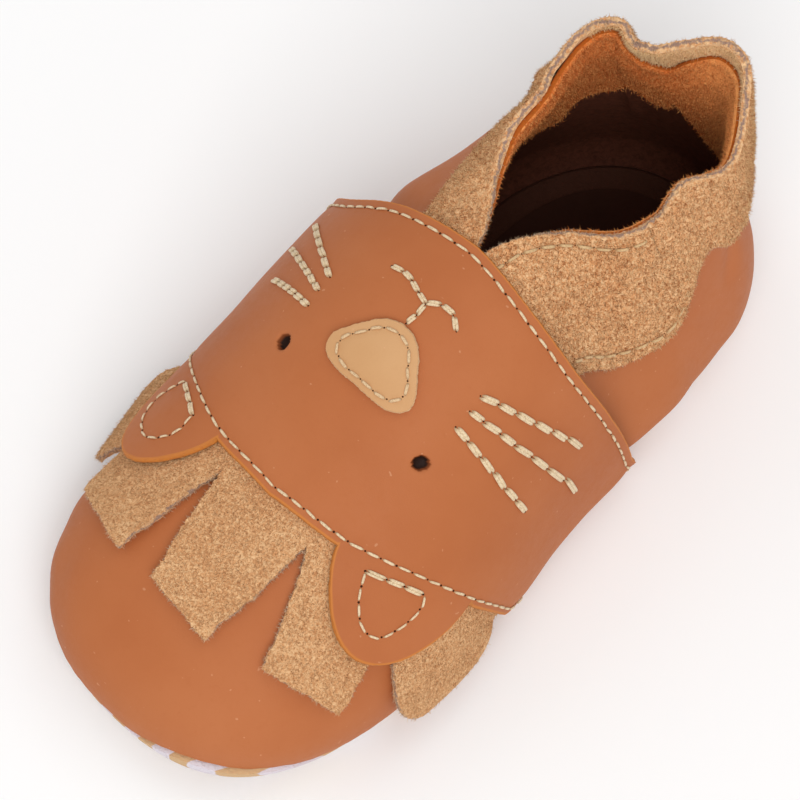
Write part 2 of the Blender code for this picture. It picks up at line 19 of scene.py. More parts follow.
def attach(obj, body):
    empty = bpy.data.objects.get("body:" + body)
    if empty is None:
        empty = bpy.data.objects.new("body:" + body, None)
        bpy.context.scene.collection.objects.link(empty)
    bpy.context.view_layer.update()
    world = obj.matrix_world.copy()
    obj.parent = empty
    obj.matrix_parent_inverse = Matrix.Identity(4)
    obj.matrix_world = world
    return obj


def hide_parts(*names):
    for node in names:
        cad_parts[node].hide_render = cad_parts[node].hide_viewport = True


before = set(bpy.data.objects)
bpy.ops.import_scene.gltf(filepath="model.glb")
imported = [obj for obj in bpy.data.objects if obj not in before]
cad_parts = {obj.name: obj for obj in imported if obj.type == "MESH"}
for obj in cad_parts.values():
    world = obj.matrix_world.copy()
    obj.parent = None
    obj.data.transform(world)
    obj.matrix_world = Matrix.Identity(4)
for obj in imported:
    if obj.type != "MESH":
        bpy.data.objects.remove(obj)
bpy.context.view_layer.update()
BODY = "root"
LOG = logging.getLogger("slipper")

Array = NDArray[np.float64]
Index = NDArray[np.int64]
Colour = tuple[float, float, float]
Piece = bpy.types.Object
Socket = bpy.types.NodeSocket
MM = 0.001


class Slot(Enum):
    """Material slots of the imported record."""

    SOLE = "sole_suede"
    SOCK = "insole_sock"
    UPPER = "upper_leather"
    CUFF = "cuff_suede"
    MANE = "mane_suede"
    FACE = "face_leather"
    NOSE = "nose_leather"


class Skin(Enum):
    """Which face of a wall a point lies on."""

    OUTER = 1.0
    INNER = 0.0


def srgb(red: int, green: int, blue: int) -> Colour:
    """Turn an eye-matched screen colour into the linear colour that shaders use."""
    shares = [value / 255.0 for value in (red, green, blue)]
    return tuple(s / 12.92 if s <= 0.04045 else ((s + 0.055) / 1.055) ** 2.4 for s in shares)


class Side(NamedTuple):
    """Half widths of the last at a station, as shares of the ball width."""

    station: float
    near: float
    far: float


class Crest(NamedTuple):
    """Height of the last's top line at a station, as a share of the instep height."""

    station: float
    height: float


class Fold(NamedTuple):
    """One gather of the collar: where it is, how far out and how high its edge stands, the arc
    over which the wall leans in and the share of a straight lean in it."""

    walk: float
    reach: float
    height: float
    arc: float
    lean: float


class Turn(NamedTuple):
    """Climb of the seam where the upper is turned in to the sole."""

    walk: float
    climb: float


class CuffRow(NamedTuple):
    """Climbs of the cuff's foot, of the upper's own edge and of the facing's hairy hem."""

    walk: float
    foot: float
    lining: float
    hem: float


class Edge(NamedTuple):
    """Front edge of the face panel at a girth angle, and its back edge on either side."""

    girth: float
    front: float
    back_near: float
    back_far: float


class Strip(NamedTuple):
    """A strip of the mane: girths of root and tip corners, stations of the tip corners, how far
    the tip stands off, where that begins, which edge stays down, the bow of the tip and how much
    more it stands off near its root."""

    root_from: float
    root_to: float
    tip_from: float
    tip_to: float
    station_from: float
    station_to: float
    lift: float
    lift_from: float
    hinge: int
    bow: float
    early: float


class Crease(NamedTuple):
    """A soft trough in the upper, or a ridge where depth is negative: its middle, half length,
    half width, depth in millimetres and the turn of its line from level."""

    walk: float
    climb: float
    along: float
    across: float
    depth: float
    turn: float


class Gather(NamedTuple):
    """A ridge of the gathered cuff: its place, half width in walk and height in millimetres."""

    walk: float
    spread: float
    rise: float


class Spot(NamedTuple):
    """A place on the face panel: station and girth angle."""

    station: float
    girth: float


SIDES = (
    Side(0.300, 0.507, 0.493),
    Side(0.423, 0.471, 0.496),
    Side(0.529, 0.431, 0.493),
    Side(0.643, 0.416, 0.470),
    Side(0.772, 0.422, 0.408),
)
CREST = (
    Crest(0.000, 0.562),
    Crest(0.105, 0.594),
    Crest(0.235, 0.660),
    Crest(0.300, 0.729),
    Crest(0.382, 0.833),
    Crest(0.463, 0.927),
    Crest(0.545, 0.979),
    Crest(0.618, 1.000),
    Crest(0.772, 1.060),
)
COLLAR = (
    Fold(1.572, 0.000, 0.799, 90.0, 0.00),
    Fold(1.660, 0.030, 0.802, 88.0, 0.25),
    Fold(1.747, 0.115, 0.806, 84.0, 0.55),
    Fold(1.834, 0.250, 0.798, 77.0, 0.75),
    Fold(1.933, 0.480, 0.780, 68.0, 0.80),
    Fold(2.040, 0.575, 0.805, 62.0, 0.80),
    Fold(2.140, 0.595, 0.855, 58.0, 0.70),
    Fold(2.210, 0.630, 0.885, 55.0, 0.60),
    Fold(2.280, 0.725, 0.880, 52.0, 0.50),
    Fold(2.360, 0.815, 0.865, 50.0, 0.45),
    Fold(2.460, 0.845, 0.890, 47.0, 0.75),
    Fold(2.560, 0.862, 0.945, 44.0, 0.95),
    Fold(2.680, 0.880, 1.005, 42.0, 0.90),
    Fold(2.780, 0.815, 1.020, 44.0, 0.70),
    Fold(2.880, 0.660, 1.003, 47.0, 0.60),
    Fold(2.980, 0.550, 0.987, 49.0, 0.68),
    Fold(3.070, 0.500, 0.995, 50.0, 0.72),
    Fold(3.170, 0.490, 0.995, 50.0, 0.76),
    Fold(3.260, 0.520, 1.000, 50.0, 0.80),
    Fold(3.330, 0.580, 1.000, 50.0, 0.85),
    Fold(3.440, 0.585, 0.990, 50.0, 0.90),
    Fold(3.560, 0.535, 0.975, 52.0, 0.95),
    Fold(3.660, 0.470, 0.955, 55.0, 1.00),
    Fold(3.870, 0.370, 0.930, 60.0, 1.00),
    Fold(4.070, 0.350, 0.885, 67.0, 0.85),
    Fold(4.165, 0.250, 0.840, 77.0, 0.55),
    Fold(4.253, 0.120, 0.815, 84.0, 0.30),
    Fold(4.340, 0.030, 0.802, 88.0, 0.25),
    Fold(4.428, 0.000, 0.799, 90.0, 0.00),
)
TURNED_SEAM = (
    Turn(0.00, -0.06),
    Turn(0.09, 0.02),
    Turn(0.23, 0.05),
    Turn(0.40, 0.01),
    Turn(0.55, -0.08),
    Turn(0.66, -0.26),
    Turn(0.90, -0.46),
    Turn(1.30, -0.52),
    Turn(3.00, -0.50),
    Turn(4.70, -0.52),
    Turn(5.20, -0.48),
    Turn(5.75, -0.36),
    Turn(5.92, -0.22),
    Turn(6.00, -0.06),
)
CUFF = (
    CuffRow(1.572, 0.45, 0.985, 0.95),
    CuffRow(1.675, 0.39, 0.980, 0.93),
    CuffRow(1.805, 0.30, 0.975, 0.89),
    CuffRow(1.915, 0.31, 0.970, 0.87),
    CuffRow(2.000, 0.35, 0.965, 0.86),
    CuffRow(2.100, 0.48, 0.960, 0.82),
    CuffRow(2.190, 0.56, 0.955, 0.78),
    CuffRow(2.290, 0.50, 0.945, 0.70),
    CuffRow(2.420, 0.53, 0.935, 0.54),
    CuffRow(2.560, 0.50, 0.920, 0.38),
    CuffRow(2.680, 0.48, 0.885, 0.28),
    CuffRow(2.750, 0.50, 0.885, 0.26),
    CuffRow(2.820, 0.52, 0.900, 0.26),
    CuffRow(2.900, 0.51, 0.870, 0.30),
    CuffRow(2.980, 0.49, 0.810, 0.45),
    CuffRow(3.020, 0.49, 0.798, 0.54),
    CuffRow(3.070, 0.48, 0.790, 0.44),
    CuffRow(3.170, 0.47, 0.810, 0.43),
    CuffRow(3.260, 0.47, 0.870, 0.48),
    CuffRow(3.330, 0.49, 0.935, 0.44),
    CuffRow(3.440, 0.52, 0.950, 0.43),
    CuffRow(3.560, 0.54, 0.950, 0.42),
    CuffRow(3.620, 0.55, 0.953, 0.36),
    CuffRow(3.660, 0.56, 0.955, 0.28),
    CuffRow(3.870, 0.605, 0.960, 0.36),
    CuffRow(4.070, 0.655, 0.965, 0.66),
    CuffRow(4.165, 0.675, 0.970, 0.80),
    CuffRow(4.253, 0.690, 0.975, 0.87),
    CuffRow(4.340, 0.695, 0.980, 0.91),
    CuffRow(4.428, 0.735, 0.985, 0.95),
)
PANEL = (
    Edge(0.0, 0.268, 0.604, 0.604),
    Edge(25.0, 0.280, 0.597, 0.595),
    Edge(46.0, 0.312, 0.603, 0.584),
    Edge(66.0, 0.348, 0.624, 0.602),
    Edge(80.0, 0.378, 0.640, 0.612),
    Edge(102.0, 0.426, 0.657, 0.616),
    Edge(124.0, 0.462, 0.640, 0.618),
)
MANE = (
    Strip(-98.0, -63.0, -100.0, -64.0, 0.232, 0.236, 0.0034, 0.00, 1, 0.016, 1.3),
    Strip(-58.0, -17.0, -63.0, -30.0, 0.160, 0.124, 0.0008, 0.60, 0, 0.0, 0.0),
    Strip(-17.0, 17.0, -13.5, 14.0, 0.121, 0.109, 0.0006, 0.45, 0, 0.0, 0.0),
    Strip(17.0, 46.0, 34.0, 65.0, 0.130, 0.164, 0.0008, 0.60, 0, 0.0, 0.0),
    Strip(63.0, 97.0, 64.0, 100.0, 0.248, 0.254, 0.0018, 0.05, -1, 0.022, 0.1),
)
UPPER_CREASES = (
    Crease(4.12, 0.44, 13.0, 5.5, -2.1, 0.0),
    Crease(2.40, 0.26, 7.0, 6.5, -0.8, 10.0),
    Crease(2.36, 0.06, 10.0, 8.0, -1.1, 0.0),
    Crease(2.56, 0.42, 8.0, 2.0, 0.7, 78.0),
    Crease(2.30, 0.40, 6.0, 1.8, 0.6, 64.0),
    Crease(2.84, 0.34, 7.0, 2.0, 0.6, 96.0),
    Crease(3.30, 0.34, 7.0, 2.2, 0.6, 84.0),
    Crease(3.74, 0.38, 8.0, 2.2, 0.6, 104.0),
    Crease(1.86, 0.02, 7.5, 9.0, -1.3, 0.0),
    Crease(5.33, 0.08, 9.0, 9.0, -0.7, 0.0),
    Crease(5.16, 0.12, 7.0, 8.0, -0.5, 0.0),
    Crease(5.80, 0.04, 10.0, 9.0, 0.5, 0.0),
    Crease(4.66, 0.10, 10.0, 2.8, 0.30, -14.0),
    Crease(0.62, 0.22, 9.0, 3.6, 0.20, 16.0),
    Crease(5.55, 0.20, 9.0, 3.6, 0.20, -18.0),
)
CUFF_GATHERS = (
    Gather(1.98, 0.070, 0.3),
    Gather(2.20, 0.040, -0.3),
    Gather(2.36, 0.050, 0.4),
    Gather(2.50, 0.050, -0.6),
    Gather(2.66, 0.070, -1.2),
    Gather(2.92, 0.040, 0.3),
    Gather(3.12, 0.045, -0.3),
    Gather(3.34, 0.035, 0.3),
    Gather(3.52, 0.060, -0.3),
    Gather(3.76, 0.070, 0.9),
    Gather(3.93, 0.050, -1.2),
    Gather(4.05, 0.030, 0.3),
    Gather(4.13, 0.025, -0.9),
    Gather(4.21, 0.028, 0.5),
)


def column(rows: Sequence[NamedTuple], name: str) -> Array:
    """One named column of a table as an array."""
    return np.array([getattr(row, name) for row in rows], float)


def smooth(x: Array, places: Array, values: Array, level_ends: bool = False) -> Array:
    """Cubic Hermite curve through the rows of a table, held at its ends.

    Args:
        x: Places to read.
        places: Rising places of the rows.
        values: Values of the rows.
        level_ends: Whether the curve leaves its two ends level.

    Returns:
        Values at x.
    """
    slopes = np.empty_like(values)
    slopes[1:-1] = (values[2:] - values[:-2]) / (places[2:] - places[:-2])
    slopes[0] = 0.0 if level_ends else (values[1] - values[0]) / (places[1] - places[0])
    slopes[-1] = 0.0 if level_ends else (values[-1] - values[-2]) / (places[-1] - places[-2])
    x = np.clip(np.asarray(x, float), places[0], places[-1])
    i = np.clip(np.searchsorted(places, x) - 1, 0, len(places) - 2)
    step = places[i + 1] - places[i]
    t = (x - places[i]) / step
    rise = t * t * (3.0 - 2.0 * t)
    start = values[i] * (1.0 - rise) + slopes[i] * step * t * (1.0 - t) ** 2
    return start + values[i + 1] * rise + slopes[i + 1] * step * t * t * (t - 1.0)


def table(rows: Sequence[NamedTuple], key: str, name: str, x: Array) -> Array:
    """Smooth value of a table's column at x."""
    return smooth(x, column(rows, key), column(rows, name))


def ease(x: Array) -> Array:
    """Smooth step from 0 to 1."""
    x = np.clip(x, 0.0, 1.0)
    return x * x * (3.0 - 2.0 * x)


def wander(x: Array, seed: int, lowest: float, octaves: int = 4) -> Array:
    """A seeded line that wanders about 0: sines of rising pitch and falling height.

    Args:
        x: Places along the line.
        seed: Seed of the phases.
        lowest: Waves per unit of x in the slowest sine.
        octaves: Number of sines.

    Returns:
        Values of about -1 to 1.
    """
    phases = np.random.default_rng(seed).uniform(0.0, 2.0 * math.pi, octaves)
    waves = lowest * 1.9 ** np.arange(octaves)
    heights = 0.62 ** np.arange(octaves)
    turns = 2.0 * math.pi * np.asarray(x, float)[..., None] * waves + phases
    return (np.sin(turns) * heights).sum(-1) / heights.sum()


def unit(vectors: Array) -> Array:
    """Vectors of length 1."""
    return vectors / np.maximum(np.linalg.norm(vectors, axis=-1, keepdims=True), 1e-12)


def grid_quads(rows: int, columns: int, wraps: bool = False, first: int = 0) -> Index:
    """Quads of a grid of points, counted row by row.

    Args:
        rows: Rows of points.
        columns: Points in a row.
        wraps: Whether the last column joins the first.
        first: Number of the first point.

    Returns:
        Corners of the faces, four a row.
    """
    index = np.arange(rows * columns).reshape(rows, columns) + first
    after = np.roll(index, -1, axis=1)
    if not wraps:
        index, after = index[:, :-1], after[:, :-1]
    corners = [index[:-1], after[:-1], after[1:], index[1:]]
    return np.stack([corner.ravel() for corner in corners], axis=1)


def add_mesh(
    name: str, points: Array, quads: Index, marks: dict[str, Array], crisp: Index | None = None
) -> Piece:
    """Put an array of points and quads into a smooth object at the origin.

    A quad with two like corners becomes a triangle, and one with fewer than three is left out.

    Args:
        name: Name of the piece.
        points: Points, one a row.
        quads: Corners of the faces, four a row.
        marks: Named values at the points, for the materials.
        crisp: Pairs of points whose edge stays sharp, one a row.

    Returns:
        The new object.
    """
    alike = quads == np.roll(quads, -1, axis=1)
    whole = quads[~alike.any(axis=1)]
    bent = alike.sum(axis=1) == 1
    start = np.argmax(alike[bent], axis=1)[:, None]
    triangles = np.take_along_axis(quads[bent], (start + 1 + np.arange(3)) % 4, axis=1)
    mesh = bpy.data.meshes.new(name)
    mesh.from_pydata(points.tolist(), [], whole.tolist() + triangles.tolist())
    for mark, values in marks.items():
        layer = mesh.attributes.new(mark, "FLOAT", "POINT")
        layer.data.foreach_set("value", np.ascontiguousarray(values, dtype=np.float32).ravel())
    mesh.shade_smooth()
    if crisp is not None:
        ends = np.empty(2 * len(mesh.edges), np.int32)
        mesh.edges.foreach_get("vertices", ends)
        have = np.sort(ends.reshape(-1, 2).astype(np.int64), axis=1)
        want = np.sort(crisp, axis=1)
        key = np.array([len(points), 1])
        sharp = np.isin(have @ key, want @ key)
        mesh.attributes.new("sharp_edge", "BOOLEAN", "EDGE").data.foreach_set("value", sharp)
    mesh.update()
    piece = bpy.data.objects.new(name, mesh)
    bpy.context.scene.collection.objects.link(piece)
    return piece


@dataclass(frozen=True)
class Last:
    """The foot form: ribs climb from the floor outline (climb -1) over the widest line (0) to the
    top line or collar edge (1) and walk round from the toe tip (0) past the near side, the heel
    (3) and the far side; arches cross it at a station with girth angles from the top line."""

    length: float = 0.1228
    ball_width: float = 0.0548
    instep_height: float = 0.0480
    heel_height: float = 0.0600
    widest_height: float = 0.0090
    tuck_under: float = 0.0080
    toe_spring: float = 0.0030
    spring_from: float = 0.35
    lean_start: float = 1.15
    toe_station: float = 0.300
    heel_station: float = 0.772
    squareness_near: float = 2.36
    squareness_far: float = 2.80
    upper_wall: float = 0.0014
    sole_wall: float = 0.0018
    sock_wall: float = 0.0014
    suede: float = 0.0012
    face_leather: float = 0.0011
    nose_leather: float = 0.0010
    clearance: float = 0.0003

    def along(self, station: Array) -> Array:
        """Y of a station, a share of the length behind the toe tip."""
        return self.length * (np.asarray(station, float) - 0.5)

    def crest_height(self, y: Array) -> Array:
        """Height of the closed last's top line over y."""
        return self.instep_height * table(CREST, "station", "height", y / self.length + 0.5)

    def power(self, near: Array) -> Array:
        """Power of the toe's superellipse on either side."""
        return np.where(near, self.squareness_near, self.squareness_far)

    def row_width(self, row: Side, near: Array) -> Array:
        """Half width at a row of the sides' table, in metres."""
        return self.ball_width * np.where(near, row.near, row.far)

    def half_width(self, y: Array, near: Array) -> Array:
        """Half width of the widest line: superellipse toe, sides from the table, round heel.

        Args:
            y: Places along the last.
            near: Where the near side is asked for.

        Returns:
            Half widths in metres.
        """
        station = y / self.length + 0.5
        places = column(SIDES, "station")
        sides = [smooth(station, places, column(SIDES, side), True) for side in ("near", "far")]
        toe = np.clip((self.toe_station - station) / self.toe_station, 0.0, 1.0)
        heel = np.clip((station - self.heel_station) / (1.0 - self.heel_station), 0.0, 1.0)
        power = self.power(near)
        toe_width = self.row_width(SIDES[0], near) * (1.0 - toe ** power) ** (1.0 / power)
        heel_width = self.row_width(SIDES[-1], near) * np.sqrt(1.0 - heel ** 2)
        width = np.where(station < self.toe_station, toe_width, self.ball_width * np.where(near, *sides))
        return np.where(station > self.heel_station, heel_width, width)

    @staticmethod
    def part(walk: Array) -> Array:
        """Walk counted from the toe tip along either side: toe to 1, side to 2, heel to 3."""
        return np.where(walk <= 3.0, walk, 6.0 - walk)

    @staticmethod
    def is_open(walk: Array) -> Array:
        """Whether the rib at a walk ends at the collar and not on the closed top line."""
        return (walk >= COLLAR[0].walk) & (walk <= COLLAR[-1].walk)

    def rib_plan(self, walk: Array) -> tuple[Array, Array, Array]:
        """Plan of the ribs, which fan out from a pole at the toe and at the heel.

        Args:
            walk: Places round the outline.

        Returns:
            Y of the rib's end on the top line, then x and y of its place on the widest line.
        """
        near = walk <= 3.0
        part = self.part(walk)
        toe_pole, heel_pole = self.along(self.toe_station), self.along(self.heel_station)
        share = np.clip(part - 1.0, 0.0, 1.0)
        y_side = self.along(self.toe_station + (self.heel_station - self.toe_station) * share)
        toe_turn = np.clip(part, 0.0, 1.0) * math.pi / 2.0
        power = 2.0 / self.power(near)
        toe_x = self.row_width(SIDES[0], near) * np.sin(toe_turn) ** power
        toe_y = toe_pole - self.length * self.toe_station * np.cos(toe_turn) ** power
        heel_turn = np.clip(part - 2.0, 0.0, 1.0) * math.pi / 2.0
        heel_x = self.row_width(SIDES[-1], near) * np.cos(heel_turn)
        heel_y = heel_pole + self.length * (1.0 - self.heel_station) * np.sin(heel_turn)
        in_toe, in_heel = part < 1.0, part > 2.0
        top_y = np.where(in_toe, toe_pole, np.where(in_heel, heel_pole, y_side))
        x = np.where(in_toe, toe_x, np.where(in_heel, heel_x, self.half_width(y_side, near)))
        y = np.where(in_toe, toe_y, np.where(in_heel, heel_y, y_side))
        return top_y, x * np.where(near, 1.0, -1.0), y

    def toe_rise(self, walk: Array) -> Array:
        """Toe spring of the floor outline: full at the toe tip, none behind the toe's ribs."""
        return self.toe_spring * np.cos(np.clip(self.part(walk), 0.0, 1.0) * math.pi / 2.0) ** 2

    def rib_point(self, walk: Array, climb: Array) -> Array:
        """Point of the last: above the widest line the rib leans in along an elliptical arc to the
        collar edge or the top line, below it a quarter ellipse tucks under to the floor.

        Args:
            walk: Places round the outline.
            climb: Places up the ribs.

        Returns:
            Points.
        """
        walk, climb = np.broadcast_arrays(np.asarray(walk, float), np.asarray(climb, float))
        top_y, base_x, base_y = self.rib_plan(walk)
        is_open = self.is_open(walk)
        reach = np.where(is_open, table(COLLAR, "walk", "reach", walk), 0.0)
        arc = np.radians(np.where(is_open, table(COLLAR, "walk", "arc", walk), 90.0))
        lean = np.where(is_open, table(COLLAR, "walk", "lean", walk), 0.0)
        turn = np.clip(climb, 0.0, None) * arc
        under = np.clip(-climb, 0.0, 1.0) * math.pi / 2.0
        round_in = (1.0 - np.cos(turn)) / (1.0 - np.cos(arc))
        straight_in = (np.sin(turn) / np.sin(arc)) ** self.lean_start
        share = 1.0 - (1.0 - reach) * ((1.0 - lean) * round_in + lean * straight_in)
        span = np.hypot(base_x, base_y - top_y)
        share = share - self.tuck_under * (1.0 - np.cos(under)) / span
        y = top_y + (base_y - top_y) * share
        collar_height = self.heel_height * table(COLLAR, "walk", "height", walk)
        crest = np.where(is_open, collar_height, self.crest_height(y))
        z = self.widest_height + (crest - self.widest_height) * np.sin(turn) / np.sin(arc)
        z = z - (self.widest_height - self.toe_rise(walk)) * np.sin(under)
        return np.stack([base_x * share, y, z], -1)

    def floor_point(self, walk: Array, share: Array, height: float = 0.0) -> Array:
        """Point of the sole's bottom: share 1 on the floor outline, 0 on the middle line.

        Args:
            walk: Places round the outline.
            share: How far out from the middle line.
            height: Height over the sole's bottom.

        Returns:
            Points.
        """
        walk, share = np.broadcast_arrays(np.asarray(walk, float), np.asarray(share, float))
        top_y, _, _ = self.rib_plan(walk)
        rim = self.rib_point(walk, -1.0)
        y = top_y + (rim[..., 1] - top_y) * share
        sprung = np.clip((share - self.spring_from) / (1.0 - self.spring_from), 0.0, 1.0)
        z = self.toe_rise(walk) * sprung ** 2 + height
        return np.stack([rim[..., 0] * share, y, z], -1)

    def arch_point(self, station: Array, girth: Array) -> Array:
        """Point of the closed last at a station and girth; ahead of the toe's pole the arch
        follows the toe's ribs.

        Args:
            station: Places along the last.
            girth: Degrees down from the top line, plus on the near side.

        Returns:
            Points.
        """
        station, girth = np.broadcast_arrays(np.asarray(station, float), np.asarray(girth, float))
        y = self.along(station)
        near = girth >= 0.0
        turn = np.radians(90.0 - np.abs(girth))
        across = self.half_width(y, near) * np.cos(np.clip(turn, 0.0, None))
        power = self.power(near)
        ahead = np.clip((self.toe_station - station) / self.toe_station, 0.0, 1.0)
        toe_share = (across / self.row_width(SIDES[0], near)) ** power + ahead ** power
        toe_share = toe_share ** (1.0 / power)
        share = np.where(station < self.toe_station, toe_share, np.cos(turn))
        rise = np.sqrt(np.clip(1.0 - share ** 2, 0.0, 1.0))
        under = np.clip(-turn, 0.0, None)
        height = (self.crest_height(y) - self.widest_height) * np.where(turn > 0.0, rise, 0.0)
        z = self.widest_height + height - self.widest_height * np.sin(under)
        across = across - self.tuck_under * (1.0 - np.cos(under))
        return np.stack([across * np.where(near, 1.0, -1.0), y, z], -1)

    def rib_normal(self, walk: Array, climb: Array) -> Array:
        """Outward normal of the ribs; at the closed top the rib just below it is used.

        Args:
            walk: Places round the outline.
            climb: Places up the ribs.

        Returns:
            Unit vectors.
        """
        step = 1e-4
        below = np.minimum(climb, 1.0 - step)
        along_walk = self.rib_point(walk + step, below) - self.rib_point(walk - step, below)
        along_climb = self.rib_point(walk, climb + step) - self.rib_point(walk, climb - step)
        return unit(np.cross(along_walk, along_climb))

    def on_rib(self, walk: Array, climb: Array, distance: Array) -> Array:
        """Rib points stood off outwards along the normal by a distance in metres."""
        walk, climb, distance = np.broadcast_arrays(walk, climb, distance)
        return self.rib_point(walk, climb) + self.rib_normal(walk, climb) * distance[..., None]

    def arch_normal(self, station: Array, girth: Array) -> Array:
        """Outward normal of the closed arches.

        Args:
            station: Places along the last.
            girth: Girth angles.

        Returns:
            Unit vectors.
        """
        turn, step = 0.01, 1e-4
        along_girth = self.arch_point(station, girth + turn) - self.arch_point(station, girth - turn)
        along_length = self.arch_point(station + step, girth) - self.arch_point(station - step, girth)
        return unit(np.cross(along_girth, along_length))

    def on_arch(self, station: Array, girth: Array, distance: Array) -> Array:
        """Arch points stood off outwards along the normal by a distance in metres."""
        station, girth, distance = np.broadcast_arrays(station, girth, distance)
        return self.arch_point(station, girth) + self.arch_normal(station, girth) * distance[..., None]


class CutEdge(NamedTuple):
    """The cut edges of a wall, a row for each: place, way out of the sheet, outer normal, length."""

    place: Array
    outward: Array
    normal: Array
    length: Array


@dataclass
class Wall:
    """One cut of leather: an outer skin, an inner skin and the cut edge between them.

    The edge follows every border of the welded skin, whose line is roughened by a seeded share of
    ragged. Across the edge a point runs straight from the outer to the inner skin, pushed out of
    the sheet by bulge times a half sine and roughened in the same way.
    """

    outer: Array
    inner: Array
    quads: Index
    bulge: float = 0.00010
    ragged: float = 0.0
    seed: int = 7
    marks: dict[str, Array] = field(default_factory=dict)
    steps: tuple[float, ...] = (0.10, 0.32, 0.50, 0.68, 0.90)
    weld_size: float = 2e-6

    def __post_init__(self) -> None:
        """Weld like points of the outer skin, with their twins, and find the borders."""
        flat = self.outer.reshape(-1, 3)
        keys = np.round(flat / self.weld_size).astype(np.int64)
        _, first, places = np.unique(keys, axis=0, return_index=True, return_inverse=True)
        self.outer = flat[first]
        self.inner = self.inner.reshape(-1, 3)[first]
        self.quads = places.reshape(-1)[self.quads]
        self.marks = {name: values.reshape(-1)[first] for name, values in self.marks.items()}
        starts, ends = self.quads.ravel(), np.roll(self.quads, -1, axis=1).ravel()
        starts, ends = starts[starts != ends], ends[starts != ends]
        count = len(self.outer)
        lonely = ~np.isin(starts * count + ends, ends * count + starts)
        self.starts, self.ends = starts[lonely], ends[lonely]
        self.rim = np.unique(self.starts)
        self._roughen()

    def _roughen(self) -> None:
        """Move the cut line of both skins in and out of the sheet by a seeded share of ragged."""
        outward = self.outward()
        rng = np.random.default_rng(self.seed + 100)
        push = self.ragged * rng.normal(0.0, 0.6, (2, len(self.rim), 1))
        self.outer[self.rim] += outward * push[0]
        self.inner[self.rim] += outward * push[1]

    def outward(self) -> Array:
        """Way out of the sheet at each rim point: the border's direction crossed with the normal.

        Returns:
            Unit vectors.
        """
        tangent = np.zeros_like(self.outer)
        run = unit(self.outer[self.ends] - self.outer[self.starts])
        np.add.at(tangent, self.starts, run)
        np.add.at(tangent, self.ends, run)
        normal = unit(self.outer - self.inner)
        return unit(np.cross(tangent, normal))[self.rim]

    def build(self, name: str) -> Piece:
        """Make the wall's mesh, marked with edge (on the cut) and inside (on the inner skin).

        Args:
            name: Name of the piece.

        Returns:
            The piece.
        """
        count, rims = len(self.outer), len(self.rim)
        rng = np.random.default_rng(self.seed)
        outward = self.outward()
        start, end = self.outer[self.rim], self.inner[self.rim]
        rings, ladder = [], [np.arange(count)]
        rank = np.zeros(count, np.int64)
        rank[self.rim] = np.arange(rims)
        for k, step in enumerate(self.steps):
            push = self.bulge * math.sin(math.pi * step) + self.ragged * rng.uniform(-1.0, 1.0, rims)
            rings.append(start + (end - start) * step + outward * push[:, None])
            ladder.append(2 * count + k * rims + rank)
        ladder.append(np.arange(count) + count)
        quads = [self.quads, self.quads[:, ::-1] + count]
        for above, below in zip(ladder, ladder[1:]):
            corners = [above[self.ends], above[self.starts], below[self.starts], below[self.ends]]
            quads.append(np.stack(corners, axis=1))
        points = np.concatenate([self.outer, self.inner] + rings)
        on_rings = np.repeat(np.array(self.steps), rims)
        edge = np.concatenate([np.zeros(2 * count), np.ones_like(on_rings)])
        inside = np.concatenate([np.zeros(count), np.ones(count), on_rings])
        marks = {"edge": edge, "inside": inside}
        for mark, values in self.marks.items():
            marks[mark] = np.concatenate([values, np.zeros(count + len(on_rings))])
        border = np.stack([self.starts, self.ends], axis=1)
        crisp = np.concatenate([border, border + count])
        return add_mesh(name, points, np.concatenate(quads), marks, crisp)

    def cut_edge(self, bears: Array | None = None) -> CutEdge:
        """Middles of the border edges, with their directions, for what grows from the cut.

        Args:
            bears: 1 at the points that bear fuzz, 0 at bare ones; all bear it where it is left out.

        Returns:
            The edges between points that bear fuzz.
        """
        starts, ends = self.starts, self.ends
        if bears is not None:
            starts, ends = starts[bears[starts] > 0.5], ends[bears[starts] > 0.5]
        out = np.zeros_like(self.outer)
        out[self.rim] = self.outward()
        place = 0.25 * (self.outer[starts] + self.outer[ends] + self.inner[starts] + self.inner[ends])
        normal = unit(self.outer[starts] - self.inner[starts])
        length = np.linalg.norm(self.outer[ends] - self.outer[starts], axis=1)
        return CutEdge(place, unit(out[starts] + out[ends]), normal, length)


